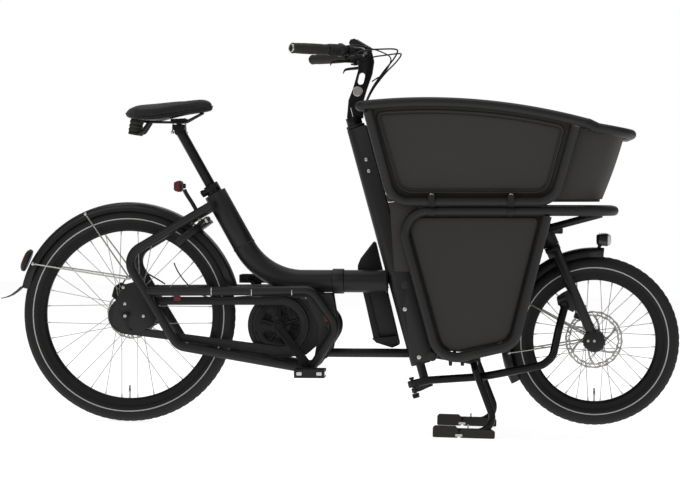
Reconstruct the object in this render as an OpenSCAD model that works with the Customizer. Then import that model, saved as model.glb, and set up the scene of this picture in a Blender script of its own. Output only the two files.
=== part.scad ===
// Front-loading electric cargo bicycle on its two-legged stand.
// Bike frame of reference: X forward from the rear axle, Y to the left, Z up from
// the line that touches both tyres. Each part is drawn there, then on_stand() tips
// the whole bicycle back onto its rear wheel and the feet of its stand.

/* [Wheels] */
// Distance between the axles
wheelbase = 1449; // [1440:1:1455]
// Outer radius of the rear tyre
rear_r = 335; // [333:0.5:336]
// Section radius of the rear tyre
rear_section = 27.5; // [27:0.5:28]
// Outer radius of the front tyre
front_r = 261; // [259:0.5:262]
// Section radius of the front tyre
front_section = 28; // [27.5:0.5:28]
// Spokes in each wheel
spokes = 32; // [32, 36]
// Radius of the rear brake disc
rear_disc_r = 80; // [70:1:82]
// Radius of the front brake disc
front_disc_r = 90; // [80:1:92]

/* [Frame] */
// Radius of the main tube and seat tube
main_r = 35; // [33:0.5:36]
// Radius of the rear frame loops
stay_r = 14; // [12:0.5:14]
// Distance of each rear frame loop from the middle
stay_y = 79; // [79:0.5:80]
// Lean of the seat tube from the vertical
seat_lean = 29.3; // [29:0.1:29.6]
// Lean of the steering column from the vertical
column_lean = 15.28; // [15.1:0.01:15.4]
// Lean of the head tube from the vertical
head_lean = 23; // [22.8:0.1:23.2]

/* [Cargo box] */
// Radius of the box frame tubes
box_tube_r = 15; // [13:0.5:15]
// Distance of each lower side loop from the middle
lower_y = 215; // [215:1:222]
// Distance of the rim from the middle
rim_y = 283; // [278:1:288]
// Thickness of the box walls
wall = 8; // [6:1:9]

/* [Drive] */
// Pitch radius of the chainring
ring_r = 77; // [75:0.5:78]
// Pitch radius of the rear sprocket
sprocket_r = 46; // [44:0.5:47]
// Length of each crank
crank_length = 172; // [165:0.5:173]
// Angle of the right crank below the horizontal
crank_angle = 53; // [45:1:60]

/* [Stand] */
// Angle by which the stand tips the bicycle back
stand_tip = 1.27; // [1.2:0.01:1.3]

/* [Hidden] */
$fn = 64;

// Middle of the whole bicycle's length, along the ground
box_middle_x = 643.7;

// Main reference points, as [x, y, z]
rear_axle_at = [0, 0, rear_r];
front_axle_at = [wheelbase, 0, front_r];
crank_at = [480, 0, 306];
seat_top = [270, 0, 715];
column_top = [709, 0, 928];
head_at = [1309, 0, 571];
main_z = 442;
column_length = 770;
stand_pivot = [1082, 0, 196];
fit = 0.06;

function unit(v) = v / norm(v);
function tilt_dir(lean) = [-sin(lean), 0, cos(lean)];
function along(origin, lean, t, side = 0) =
  origin + t * tilt_dir(lean) + side * [cos(lean), 0, sin(lean)];

// ---- Swept tubes ----------------------------------------------------------
function turn(a, b, c) = acos(max(-1, min(1, unit(b - a) * unit(c - b))));
function bend_points(a, b, c, bend, steps) =
  let (angle = turn(a, b, c), u = unit(b - a), w = unit(c - b))
  bend == 0 || angle < 1 ? [b] :
  let (
    start = b - u * bend * tan(angle / 2),
    n = unit(cross(u, w)),
    inward = cross(n, u),
    centre = start + inward * bend
  )
  [for (k = [0:steps]) let (t = angle * k / steps)
    centre - inward * bend * cos(t) + u * bend * sin(t)];
// A route through corner points, with each corner rounded to its own radius
function route(corners, bends, steps = 5) = [
  corners[0],
  for (i = [1:len(corners) - 2])
    each bend_points(corners[i - 1], corners[i], corners[i + 1], bends[i], steps),
  corners[len(corners) - 1]
];
function tangent(path, i) =
  i == 0 ? unit(path[1] - path[0]) :
  i == len(path) - 1 ? unit(path[i] - path[i - 1]) :
  unit(unit(path[i + 1] - path[i]) + unit(path[i] - path[i - 1]));
function ring_at(p, t, ref, r, sides) =
  let (x = unit(ref - (ref * t) * t), y = cross(t, x))
  [for (k = [0:sides - 1]) let (a = 360 * (k + 0.5) / sides)
    p + r * (cos(a) * x + sin(a) * y)];
// A round tube along a route. ref is a direction that the route never follows.
module sweep(path, r, ref = [0, 1, 0], sides = 16, inner = 0) {
  rings = len(path);
  outer_points = [for (i = [0:rings - 1])
    each ring_at(path[i], tangent(path, i), ref, r, sides)];
  inner_points = inner == 0 ? [] : [for (i = [0:rings - 1])
    each ring_at(path[i], tangent(path, i), ref, inner, sides)];
  base = rings * sides;
  last = (rings - 1) * sides;
  outer_faces = [for (i = [0:rings - 2], k = [0:sides - 1])
    let (n = (k + 1) % sides, a = i * sides, b = a + sides)
    [a + n, a + k, b + k, b + n]];
  inner_faces = inner == 0 ? [] : [for (i = [0:rings - 2], k = [0:sides - 1])
    let (n = (k + 1) % sides, a = base + i * sides, b = a + sides)
    [a + k, a + n, b + n, b + k]];
  ends = inner == 0 ?
    [[for (k = [0:sides - 1]) k], [for (k = [sides - 1:-1:0]) last + k]] :
    [for (k = [0:sides - 1]) each let (n = (k + 1) % sides)
      [[k, n, base + n, base + k], [last + n, last + k, base + last + k, base + last + n]]];
  polyhedron(concat(outer_points, inner_points), concat(outer_faces, inner_faces, ends));
}
// A straight round bar between two points
module bar(a, b, r) {
  d = b - a;
  translate(a)
    rotate([0, acos(d[2] / norm(d)), atan2(d[1], d[0])])
      cylinder(r = r, h = norm(d));
}
// A shape drawn in X and Z, made solid from y1 to y2
module slab(points, y1, y2) {
  translate([0, y2, 0]) rotate([90, 0, 0]) linear_extrude(y2 - y1) polygon(points);
}
// A cylinder across the bicycle, centred on [x, z]
module cross_pin(at, r, y1, y2) {
  translate([at[0], y2, at[2]]) rotate([90, 0, 0]) cylinder(r = r, h = y2 - y1);
}
module both_sides() {
  children();
  mirror([0, 1, 0]) children();
}
module in_column() translate(column_top) rotate([0, -column_lean, 0]) children();
module in_head() translate(head_at) rotate([0, -head_lean, 0]) children();
module in_seat() translate(seat_top) rotate([0, -seat_lean, 0]) children();
module on_axle(at) translate(at) rotate([90, 0, 0]) children();
module on_stand() translate([-box_middle_x, 0, stand_lift]) rotate([0, -stand_tip, 0]) children();

// ---- Rear frame -----------------------------------------------------------
seat_tube_length = 188;
module seat_tube() color("#1d1c1a") in_seat() difference() {
  translate([0, 0, -seat_tube_length]) cylinder(r = main_r, h = seat_tube_length);
  translate([0, 0, -seat_tube_length - 1]) cylinder(r = main_r - 4, h = seat_tube_length - 89);
  translate([0, 0, -seat_tube_length]) cylinder(r = 15.8 + fit, h = seat_tube_length + 1);
}
main_bend = 210;
main_end = [811, 0, main_z];
module main_tube() {
  start = along(seat_top, seat_lean, -seat_tube_length);
  corner_t = (start[2] - main_z) / cos(seat_lean);
  corner = [start[0] + corner_t * sin(seat_lean), 0, main_z];
  path = route([start, corner, main_end - [0.5, 0, 0]], [0, main_bend, 0], 9);
  color("#1d1c1a") sweep(path, main_r, [0, 1, 0], 28, main_r - 4);
  color("#262523") tube_coupler();
}
module tube_coupler() translate([640, 0, main_z]) rotate([0, 90, 0]) difference() {
  cylinder(r = main_r + 4, h = 34);
  translate([0, 0, -1]) cylinder(r = main_r + 0.1, h = 36);
}
loop_corners = [
  [262, -50, 676], [-5, -stay_y, 518], [163, -stay_y, 243], [578, -stay_y, 172],
  [661, -stay_y, 304], [580, -stay_y, 416], [68, -stay_y, 411]
];
loop_bends = [0, 55, 50, 40, 50, 45, 0];
module frame_loop() sweep(route(loop_corners, loop_bends), stay_r, [0, 1, 0], 14);
module frame_loops() color("#1d1c1a") both_sides() frame_loop();
dropout_shape = [
  [-38, 372], [-8, 432], [24, 440], [102, 352], [88, 306], [48, 286], [8, 280], [-24, 288],
  [-44, 312]
];
rack_eye = [16, 0, 292];
rack_eye_r = 2.5;
module dropouts() both_sides() difference() {
  slab(dropout_shape, -64.5, -57);
  cross_pin(rear_axle_at, 5, -70, -50);
  cross_pin(rack_eye, rack_eye_r, -70, -50);
}
module motor_bracket() both_sides()
  difference() {
    slab([[418, 404], [640, 404], [652, 330], [640, 232], [612, 204], [585, 204], [600, 300],
      [560, 392], [440, 392]], -46, -38);
    cross_pin([624, 0, 300], 5, -50, -30);
  }
module frame_plates() color("#1a1918") {
  dropouts();
  motor_bracket();
}
module rear_axle() color("silver") {
  cross_pin(rear_axle_at, 5, -88, 88);
  both_sides() cross_pin(rear_axle_at, 9.5, -71, -64.5);
}

// ---- Front frame ----------------------------------------------------------
housing_depth = 34;
module column_housing() color("#1d1c1a") in_column() difference() {
  translate([0, 0, -column_length]) {
    cylinder(r = 29, h = column_length - 10);
    translate([0, -29, 0]) cube([housing_depth, 58, column_length - 10]);
  }
  translate([0, 0, -column_length - 1]) cylinder(r = 18, h = column_length + 2);
  translate([0, 0, -22]) cylinder(r = 22, h = 13);
  translate([0, 0, -column_length - 1]) cylinder(r = 22, h = 13);
}
module column_bearings() in_column() for (z = [-22, -column_length]) difference() {
  translate([0, 0, z]) cylinder(r = 22, h = 12);
  translate([0, 0, z - 1]) cylinder(r = 14 + fit, h = 14);
}
cheek = [[838, 478], [886, 478], [952, 244], [962, 222], [957, 212], [900, 204], [893, 215]];
module side_cheeks() color("#191817") both_sides() difference() {
  slab(cheek, -199, -193);
  cross_pin([874, 0, 366], 4, -205, -190);
  cross_pin([917, 0, 221], 4, -205, -190);
}
module lower_tube() color("#1d1c1a") {
  bar([614, 0, 219], [876, 0, 219], 14);
  difference() {
    cross_pin([614, 0, 219], 17, -38, 38);
    translate([610, -13, 200]) cube([40, 26, 40]);
  }
}
head_top = 85;
head_bottom = -20;
module head_tube() color("#1d1c1a") {
  in_head() difference() {
    translate([0, 0, head_bottom]) cylinder(r = 25, h = head_top - head_bottom);
    translate([0, 0, head_bottom - 1]) cylinder(r = 16.5, h = head_top - head_bottom + 2);
    translate([0, 0, head_bottom - 1]) cylinder(r = 20, h = 13);
    translate([0, 0, head_top - 12]) cylinder(r = 20, h = 13);
  }
  both_sides() bar([1281, -24, 600], [1281, -200.5, 620], 14);
  both_sides() bar([1312, -20, 609], [1470, -40, 652], 11);
}
module head_bearings() in_head() for (z = [head_bottom, head_top - 12]) difference() {
  translate([0, 0, z]) cylinder(r = 20, h = 12);
  translate([0, 0, z - 1]) cylinder(r = 14.3 + fit, h = 14);
}

module steering_bearings() color("silver") {
  column_bearings();
  head_bearings();
}

// ---- Cargo box frame ------------------------------------------------------
lower_loop = [
  [1301, -lower_y, 648], [1202, -lower_y, 260], [979, -lower_y, 208],
  [853, -lower_y, 663], [1300, -lower_y, 663]
];
module box_loop() sweep(route(lower_loop, [0, 60, 75, 70, 0]), box_tube_r);
module box_loops() color("#232220") both_sides() box_loop();
bumper_x = 1503;
bumper_bend = 95;
module bumper_tube() color("#232220") sweep(route([
  [1300.5, -lower_y, 663], [bumper_x, -lower_y, 663], [bumper_x, lower_y, 663], [1300.5, lower_y, 663]
], [0, bumper_bend, bumper_bend, 0], 6), box_tube_r, [0, 0, 1]);
module box_cross_tubes() color("#232220") {
  bar([875, -199.5, 440], [875, 199.5, 440], box_tube_r - 2);
  bar([957, -199.5, 222], [957, 199.5, 222], box_tube_r - 2);
  both_sides() bar([1192, -199.5, 268], [1192, -160, 268], 12);
  bar([924, 0, 221], [957, 0, 222], 12);
}
// The rim falls towards the front as a shallow arc
rim_crown = [940, 988];
rim_fall = 2.806e-4;
function rim_z(x) = rim_crown[1] - rim_fall * pow(x - rim_crown[0], 2);
rim_front = 1425;
module box_rim() color("#262523") {
  side = [for (x = [rim_front:-80:790]) [x, -rim_y, rim_z(x)]];
  rear = route([[770, -rim_y, rim_z(770)], [738, -rim_y, rim_z(738)], [772, -90, 979],
    [772, 90, 979], [738, rim_y, rim_z(738)], [770, rim_y, rim_z(770)]], [0, 25, 90, 90, 25, 0], 4);
  far = [for (i = [len(side) - 1:-1:0]) [side[i][0], -side[i][1], side[i][2]]];
  sweep(concat(side, rear, far), box_tube_r, [0, 0, 1]);
}
nose_x = 1553;
module nose_rim() color("#262523") sweep(route([
  [1431, -rim_y, 913], [nose_x, -rim_y + 8, 892], [nose_x, rim_y - 8, 892], [1431, rim_y, 913]
], [0, 112, 112, 0], 7), box_tube_r, [0, 0, 1]);
// The upper loops lean out as they rise
upper_foot_y = 226;
flare = 0.2;
function flared(x, z) = [x, -(upper_foot_y + flare * (z - 692)), z];
module upper_loop() sweep(route([
  flared(768, 962), flared(838, 692), flared(1322, 692), flared(1384, 918)
], [0, 65, 65, 0]), box_tube_r);
module upper_loops() color("#262523") both_sides() upper_loop();

// ---- Cargo box walls ------------------------------------------------------
inner_y = 190;
// The rear wall stands just in front of the column housing
function rear_wall_x(z) = 757 + (928 - z) * tan(column_lean);
function front_wall_x(z) = 1128 + (z - 262) * 0.263;
side_wall = [
  [828, 688], [1296, 688], [1272, 590], [1196, 285], [1150, 262], [1050, 240],
  [975, 240], [957, 262], [896, 478.5], [842, 478.5]
];
module lower_box() color("#2e2d2a") {
  both_sides() slab(side_wall, -inner_y - wall, -inner_y);
  slab([[rear_wall_x(688), 688], [rear_wall_x(688) + wall, 688],
    [rear_wall_x(262) + wall, 262], [rear_wall_x(262), 262]], -inner_y, inner_y);
  slab([[front_wall_x(688), 688], [front_wall_x(688) - wall, 688],
    [front_wall_x(262) - wall, 262], [front_wall_x(262), 262]], -inner_y, inner_y);
  slab([[rear_wall_x(262), 254], [front_wall_x(262), 254], [front_wall_x(262), 262],
    [rear_wall_x(262), 262]], -inner_y, inner_y);
}
// A wall between two edges, each edge a list of points from end to end
module shell(low, high, inward) {
  n = len(low);
  polyhedron(
    concat(low, high, [for (p = low) p + inward(p)], [for (p = high) p + inward(p)]),
    concat(
      [for (i = [0:n - 2]) [n + i, n + i + 1, i + 1, i]],
      [for (i = [0:n - 2]) [2 * n + i + 1, 3 * n + i + 1, 3 * n + i, 2 * n + i]],
      [for (i = [0:n - 2]) [i + 1, 2 * n + i + 1, 2 * n + i, i]],
      [for (i = [0:n - 2]) [3 * n + i, 3 * n + i + 1, n + i + 1, n + i]],
      [[2 * n, 3 * n, n, 0], [2 * n - 1, 4 * n - 1, 3 * n - 1, n - 1]]
    )
  );
}
floor_z = 690;
top_gap = 9;
function wall_y(z) = 208 + flare * (z - 692);
module upper_box() color("#2e2d2a") {
  both_sides() shell(
    [for (x = [834, 1100, 1340]) [x, -wall_y(698), 698]],
    [for (x = [780, 1100, 1400]) let (z = rim_z(x) - top_gap) [x, -wall_y(z), z]],
    function(p) [0, wall, 0]);
  nose_wall();
  slab([[822, 690], [834, 690], [783, 955], [771, 955]], -200, 200);
  slab([[front_wall_x(688) + 1, floor_z], [1462, floor_z], [1462, floor_z + wall + 2],
    [front_wall_x(688) + 1, floor_z + wall + 2]], -196, 196);
}
// Nose outline in plan, from the right side round to the left
function nose_plan(x0, x1, y, z, n) = [for (k = [0:n]) let (
    a = -90 + 180 * k / n,
    c = cos(a), s = sin(a)
  ) [x0 + (x1 - x0) * pow(c, 0.6), y * sign(s) * pow(abs(s), 0.6), z]];
nose_steps = 12;
module nose_wall() {
  low = nose_plan(1342, 1474, wall_y(692), 698, nose_steps);
  high_flat = nose_plan(1402, 1538, wall_y(915), 898, nose_steps);
  high = [for (p = high_flat) [p[0], p[1], 905 - (p[0] - 1402) * 0.17]];
  shell(low, high, function(p) unit([1200 - p[0], -p[1], 0]) * wall);
}
module box_clips() color("#141413") both_sides() for (x = [956, 1194]) {
  slab([[x - 9, 663 + box_tube_r], [x + 9, 663 + box_tube_r], [x + 9, 692 - box_tube_r],
    [x - 9, 692 - box_tube_r]], -lower_y - 8, -lower_y + 6);
  slab([[x - 9, 680], [x + 9, 680], [x + 9, 712], [x - 9, 712]], -lower_y - 34, -lower_y - 28.5);
}

// ---- Drive ----------------------------------------------------------------
chain_y = -50;
module motor() color("#171615") difference() {
  union() {
    cross_pin(crank_at, 103, -37, 60);
    slab([[480, 403], [560, 385], [606, 350], [616, 300], [600, 250], [560, 215], [480, 203]], -37, 37);
  }
  cross_pin(crank_at, 14 + fit, -40, 62);
}
// The loop of the chain between two radii, offset from its pitch line
module chain_loop(offset_r) hull() {
  translate([rear_axle_at[0], rear_axle_at[2]]) circle(r = sprocket_r + offset_r);
  translate([crank_at[0], crank_at[2]]) circle(r = ring_r + offset_r);
}
module loop_band(outside, inside, y1, y2)
  translate([0, y2, 0]) rotate([90, 0, 0]) linear_extrude(y2 - y1) difference() {
    chain_loop(outside);
    chain_loop(inside);
  }
module chain() color("#4a4846") loop_band(3.2, -2.6, chain_y - 3.5, chain_y + 3.5);
// A face plate and an outer wall, open towards the wheel
module chain_guard() color("#1c1b1a") difference() {
  loop_band(12, -13, chain_y - 6.6, chain_y + 8);
  loop_band(9.5, -14, chain_y - 4.6, chain_y + 9);
}
module crankset() color("#191817") {
  cross_pin(crank_at, 14, -100, 100);
  for (side = [0, 180]) translate(crank_at) rotate([0, crank_angle + side, 0]) {
    y = side == 0 ? -110 : 96;
    difference() {
      union() {
        translate([0, y + 14, 0]) rotate([90, 0, 0]) cylinder(r = 18, h = 14);
        translate([crank_length, y + 14, 0]) rotate([90, 0, 0]) cylinder(r = 14.5, h = 14);
        translate([0, y, -13]) cube([crank_length, 14, 26]);
      }
      translate([crank_length, y + 20, 0]) rotate([90, 0, 0]) cylinder(r = 7 + fit, h = 30);
      translate([0, y + 20, 0]) rotate([90, 0, 0]) cylinder(r = 6, h = 30);
    }
  }
  difference() {
    cross_pin(crank_at, ring_r - 3.4, chain_y - 2, chain_y + 2);
    for (a = [0:72:359]) translate(crank_at) rotate([0, a, 0]) translate([46, 0, 0])
      cross_pin([0, 0, 0], 13, chain_y - 5, chain_y + 5);
  }
}
// The pedals: a spindle's bush, a cage of two side plates and four treads
module pedal(at, out) {
  translate(at) scale([1, out, 1]) difference() {
    union() {
      translate([-46, 14, -13]) cube([92, 5, 26]);
      translate([-46, 86, -13]) cube([92, 5, 26]);
      for (x = [-46, 40]) translate([x, 19, -13]) cube([6, 67, 26]);
      translate([0, 91, 0]) rotate([90, 0, 0]) cylinder(r = 11.5, h = 77);
      translate([-40, 45, -3]) cube([80, 12, 6]);
    }
    translate([0, 95, 0]) rotate([90, 0, 0]) cylinder(r = 7 + fit, h = 100);
  }
}
module right_pedal() color("#141413")
  pedal(crank_at + [crank_length * cos(crank_angle), -110, -crank_length * sin(crank_angle)], -1);
module left_pedal() color("#141413")
  pedal(crank_at - [crank_length * cos(crank_angle), -110, -crank_length * sin(crank_angle)], 1);
module sprocket() color("silver") translate([0, chain_y, rear_r]) rotate([90, 0, 0]) difference() {
  union() {
    translate([0, 0, -2]) cylinder(r = sprocket_r - 3.4, h = 4);
    translate([0, 0, -6]) cylinder(r = 24, h = 9);
  }
  translate([0, 0, -7]) cylinder(r = 5 + fit, h = 12);
}

// ---- Battery --------------------------------------------------------------
battery_shape = [
  [765, 566], [722, 512], [713, 490], [713, 462], [731, 400], [763, 256], [773, 246],
  [822, 231], [846, 240]
];
module battery() color("#1b1a19") slab(battery_shape, 40, 106);
module battery_cradle() color("#141413") {
  slab([[727, 420], [806, 442], [812, 420], [734, 400]], 22, 39.7);
  slab([[760, 262], [838, 270], [842, 246], [774, 248]], 22, 39.7);
  slab([[727, 420], [744, 425], [786, 252], [770, 250]], 33, 39.7);
}

// ---- Seat -----------------------------------------------------------------
post_r = 15.8;
lever_pin = [-31, -21, 16];
module seat_collar() color("#141413") in_seat() {
  difference() {
    union() {
      translate([0, 0, 0.2]) cylinder(r = 24, h = 30);
      translate([-36, -9, 6]) cube([20, 18, 20]);
      for (z = [5.4, 22.6]) translate([-36, -25, z]) cube([10, 18, 4]);
    }
    translate([0, 0, -1]) cylinder(r = post_r + fit, h = 40);
    translate([-40, -1.2, -1]) cube([30, 2.4, 40]);
  }
  translate(lever_pin - [0, 0, 11]) cylinder(r = 2.5, h = 22);
  translate([-31, 12, 16]) rotate([90, 0, 0]) cylinder(r = 6, h = 4);
}
module collar_lever() color("silver") in_seat() translate(lever_pin) difference() {
  union() {
    translate([0, 0, -6]) cylinder(r = 6.5, h = 12);
    translate([0, -9.5, -4]) cube([54, 5, 8]);
    translate([-4, -9.5, -4]) cube([8, 9, 8]);
  }
  translate([0, 0, -12]) cylinder(r = 2.5 + fit, h = 24);
}
post_top = 228;
module seat_post() color("#121211") in_seat() {
  translate([0, 0, -85]) cylinder(r = post_r, h = 85 + post_top);
  translate([-3, 16, post_top - 4]) rotate([90, 0, 0]) cylinder(r = 14, h = 32);
}
clamp_at = along(seat_top, seat_lean, post_top - 4, -3);
module saddle_rails() color("#141413") {
  both_sides() sweep(route([
    [14, -38, 962], [52, -23, 940], [175, -20, 936], [232, -9, 966]
  ], [0, 30, 30, 0], 3), 3.5, [0, 1, 0], 10);
  cross_pin([clamp_at[0], 0, 936], 8, -30, 30);
  translate([clamp_at[0], 0, 0])
    slab([[-19, 932], [19, 932], [14, 916], [-14, 916]], -16.5, 16.5);
}
// Sections along the saddle, as [x, half width, low z, high z]
saddle_stations = [
  [-6, 66, 962, 978], [8, 90, 954, 990], [40, 100, 952, 998], [80, 94, 955, 997],
  [120, 66, 960, 998],
  [160, 40, 963, 1002], [200, 27, 964, 1006], [240, 22, 964, 1004], [262, 14, 968, 996]
];
function saddle_section(s, n) = [for (k = [0:n - 1]) let (a = 360 * k / n, c = cos(a), q = sin(a))
  [s[0], s[1] * sign(c) * pow(abs(c), 0.7),
    (s[2] + s[3]) / 2 + (s[3] - s[2]) / 2 * sign(q) * pow(abs(q), 0.7)]];
module saddle() color("#131312") {
  n = 12;
  m = len(saddle_stations);
  polyhedron(
    [for (s = saddle_stations) each saddle_section(s, n)],
    concat(
      [for (i = [0:m - 2], k = [0:n - 1]) let (j = (k + 1) % n)
        [i * n + k, (i + 1) * n + k, (i + 1) * n + j, i * n + j]],
      [[for (k = [0:n - 1]) k], [for (k = [n - 1:-1:0]) (m - 1) * n + k]]
    )
  );
}

// ---- Rear mudguard, lights and lock ---------------------------------------
// A curved strip around a wheel: angles run from the front (0) over the top
module guard_strip(at, r, half_width, depth, thick, from, to)
  translate(at) rotate([90, 0, 0]) rotate([0, 0, from]) rotate_extrude(angle = to - from) polygon([
    [r - depth, -half_width], [r - 3, -half_width + 6], [r, -half_width + 14], [r, half_width - 14],
    [r - 3, half_width - 6], [r - depth, half_width], [r - depth - thick, half_width - thick],
    [r - 3 - thick, half_width - 6 - thick], [r - thick, half_width - 14 - thick / 2],
    [r - thick, -half_width + 14 + thick / 2], [r - 3 - thick, -half_width + 6 + thick],
    [r - depth - thick, -half_width + thick]
  ]);
rear_guard_r = 352;
module rear_mudguard() {
  color("#1a1918") guard_strip(rear_axle_at, rear_guard_r, 34, 26, 2, 12, 166);
  color("#1a1918") slab([[-341, 423], [-339, 421], [-404, 383], [-408, 386]], -27, 27);
  color("silver") both_sides() {
    bar([-133, -32.5, 650], [10, -62, 452], 2.5);
    bar([-300, -32.5, 494], [6, -62, 448], 2.5);
  }
}
module mudguard_light() {
  color("#a81c16") slab([[-336, 470], [-344, 476], [-318, 540], [-309, 536]], -22, 22);
}
module rear_lights() {
  mudguard_light();
  tail_light();
}
module tail_light() {
  color("#a81c16") slab([[141, 722], [141, 750], [168, 758], [168, 716]], -24, 24);
  color("#141413") slab([[168, 716], [168, 758], [178, 752], [178, 722]], -22, 22);
  color("silver") slab([[170, 716], [180, 716], [222, 664], [214, 660]], -9, 9);
}
lock_at = [184.6, 0, 581.6];
lock_tilt = 37;
lock_r = 57.5;
module in_lock() translate(lock_at) rotate([0, -lock_tilt, 0]) children();
module lock_body() color("#141413") in_lock() difference() {
  union() {
    rotate([0, 0, -125]) rotate_extrude(angle = 250) translate([lock_r - 8.5, -11]) square([17, 22]);
    difference() {
      translate([50, -38, -12]) cube([36, 76, 24]);
      translate([0, 0, -13]) cylinder(r = lock_r + 7, h = 26);
    }
  }
  rotate([0, 0, -126]) rotate_extrude(angle = 252) translate([lock_r, 0]) circle(r = 5);
  rotate([0, 0, -36]) rotate_extrude(angle = 134) translate([lock_r + 2, -2.4]) square([50, 4.8]);
}
module lock_shackle() color("silver") in_lock() {
  rotate([0, 0, -30]) rotate_extrude(angle = 150) translate([lock_r, 0]) circle(r = 4);
  rotate([0, 0, -30]) translate([lock_r, -4, -1.8]) cube([40, 8, 3.6]);
  rotate([0, 0, -30]) translate([lock_r + 38, -9, -7]) cube([7.5, 18, 14]);
}
module rear_caliper() color("#1a1918") difference() {
  union() {
    slab([[-64, 390], [-40, 370], [-4, 398], [-14, 424], [-36, 434], [-56, 420]], 36, 57);
    cross_pin([-40, 0, 404], 11, 32, 57);
  }
  on_axle(rear_axle_at) translate([0, 0, -48]) cylinder(r = rear_disc_r + 1.5, h = 4);
}

// ---- Steering -------------------------------------------------------------
arm_drop = 838;
rod_rear = [900, -99.51, 108];
rod_front = [1354, -99, 376];
// Direction of the rear pivot, about which the rod swings on the shaft's arm
rod_axis = [-0.25626, 0.02547, 0.96627];
// Height of the rod's end on the rear pivot, above the arm's middle
rod_rise = 25;
module steering_shaft() color("#191817") {
  in_column() {
    translate([0, 0, -column_length - 64]) cylinder(r = 14, h = column_length + 60);
    translate([0, 0, -9]) cylinder(r = 27, h = 7);
    translate([0, 0, -4]) cylinder(r = 14, h = 30);
  }
  difference() {
    in_column() translate([0, 0, -arm_drop - 7]) {
      cylinder(r = 21, h = 14);
      linear_extrude(14) polygon([[12, -16], [-16, -92], [-41, -92], [-20, 8]]);
    }
    rod_pivot() cylinder(r = 5.5, h = 80, center = true);
  }
  rod_pivot() translate([0, 0, -5]) cylinder(r = 5, h = rod_rise + 25);
  rod_pivot() translate([0, 0, rod_rise + 14]) cylinder(r = 8, h = 6);
}
module rod_pivot() translate(rod_rear)
  rotate([0, acos(rod_axis[2]), atan2(rod_axis[1], rod_axis[0])]) children();
rod_path = route([
  rod_rear + rod_rise * rod_axis, [944, -106, 144], [1105, -134, 158], [1165, -160, 171],
  [1290, -163, 197], [1320, -158, 222], [1338, -136, 305], rod_front + [2, -3, -6]
], [0, 30, 200, 200, 45, 45, 90, 0], 4);
module steering_rod() color("#1b1a19") difference() {
  union() {
    sweep(rod_path, 12, [0, 1, 0], 14);
    rod_pivot() translate([0, 0, rod_rise - 10]) cylinder(r = 15, h = 20);
    rod_stud() translate([0, 0, -14]) cylinder(r = 13.5, h = 22);
  }
  rod_pivot() translate([0, 0, -30]) cylinder(r = 5 + fit, h = 90);
  rod_stud() translate([0, 0, -12.5]) cylinder(r = stud_hole_r, h = 40);
}

// ---- Cockpit --------------------------------------------------------------
bar_z = 1148;
bar_r = 11.1;
bar_corner = [740, -150, bar_z];
bar_end = [543, -326, bar_z];
bar_length = norm(bar_end - bar_corner);
bar_dir = unit(bar_end - bar_corner);
// Placed on the straight part of a handlebar's right half, x along it, outwards
module on_bar(s) translate(bar_corner + bar_dir * s)
  rotate([0, 0, atan2(bar_dir[1], bar_dir[0])]) children();
stem_shape = [
  [684, 948], [734, 948], [734, 1000], [746, 1040], [762, 1085], [768, 1124], [762, 1150],
  [736, 1156], [722, 1120], [721, 1104], [703, 1040], [689, 1004]
];
module stem() {
  color("#161514") {
    difference() {
      union() {
        slab(stem_shape, -14, 14);
        cross_pin([740, 0, bar_z], 21, -24, 24);
      }
      cross_pin([730.5, 0, 1079], 10, -20, 20);
      cross_pin([726.5, 0, 1062], 10, -20, 20);
      slab([[720.7, 1081.3], [740.3, 1076.7], [736.3, 1059.7], [716.7, 1064.3]], -20, 20);
      cross_pin([740, 0, bar_z], bar_r + 1.6, -30, 30);
      in_column() translate([0, 0, 5]) cylinder(r = 14 + fit, h = 50);
    }
    in_column() difference() {
      translate([0, 0, 0.2]) cylinder(r = 24, h = 24);
      translate([0, 0, -1]) cylinder(r = 14 + fit, h = 60);
    }
  }
  color("silver") cross_pin([718, 0, 1031], 15.5, -16, 16);
}
bar_straight = 98;
module handlebar() color("#121211") {
  cross_pin([bar_corner[0], 0, bar_z], bar_r, -bar_straight, bar_straight);
  cross_pin([bar_corner[0], 0, bar_z], bar_r + 1.6, -30, 30);
  both_sides() sweep(route([
    [bar_corner[0], -bar_straight + 4, bar_z], bar_corner, bar_end
  ], [0, 48, 0], 6), bar_r, [0, 0, 1], 20);
}
module grips() {
  color("#262422") on_bar(132) rotate([0, 90, 0]) tube(bar_length - 134, 16, bar_r);
  color("#262422") mirror([0, 1, 0]) on_bar(92) rotate([0, 90, 0]) tube(bar_length - 94, 16, bar_r);
  color("silver") both_sides() on_bar(bar_length - 2) rotate([0, 90, 0]) cylinder(r = 14, h = 5);
}
module tube(length, outer, inner) difference() {
  cylinder(r = outer, h = length);
  translate([0, 0, -1]) cylinder(r = inner, h = length + 2);
}
module shift_grip() color("#1d1c1a") on_bar(68) rotate([0, 90, 0]) {
  tube(62, 17.5, bar_r + 0.35);
  translate([0, 0, 8]) tube(10, 21, bar_r + 0.35);
}
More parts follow.
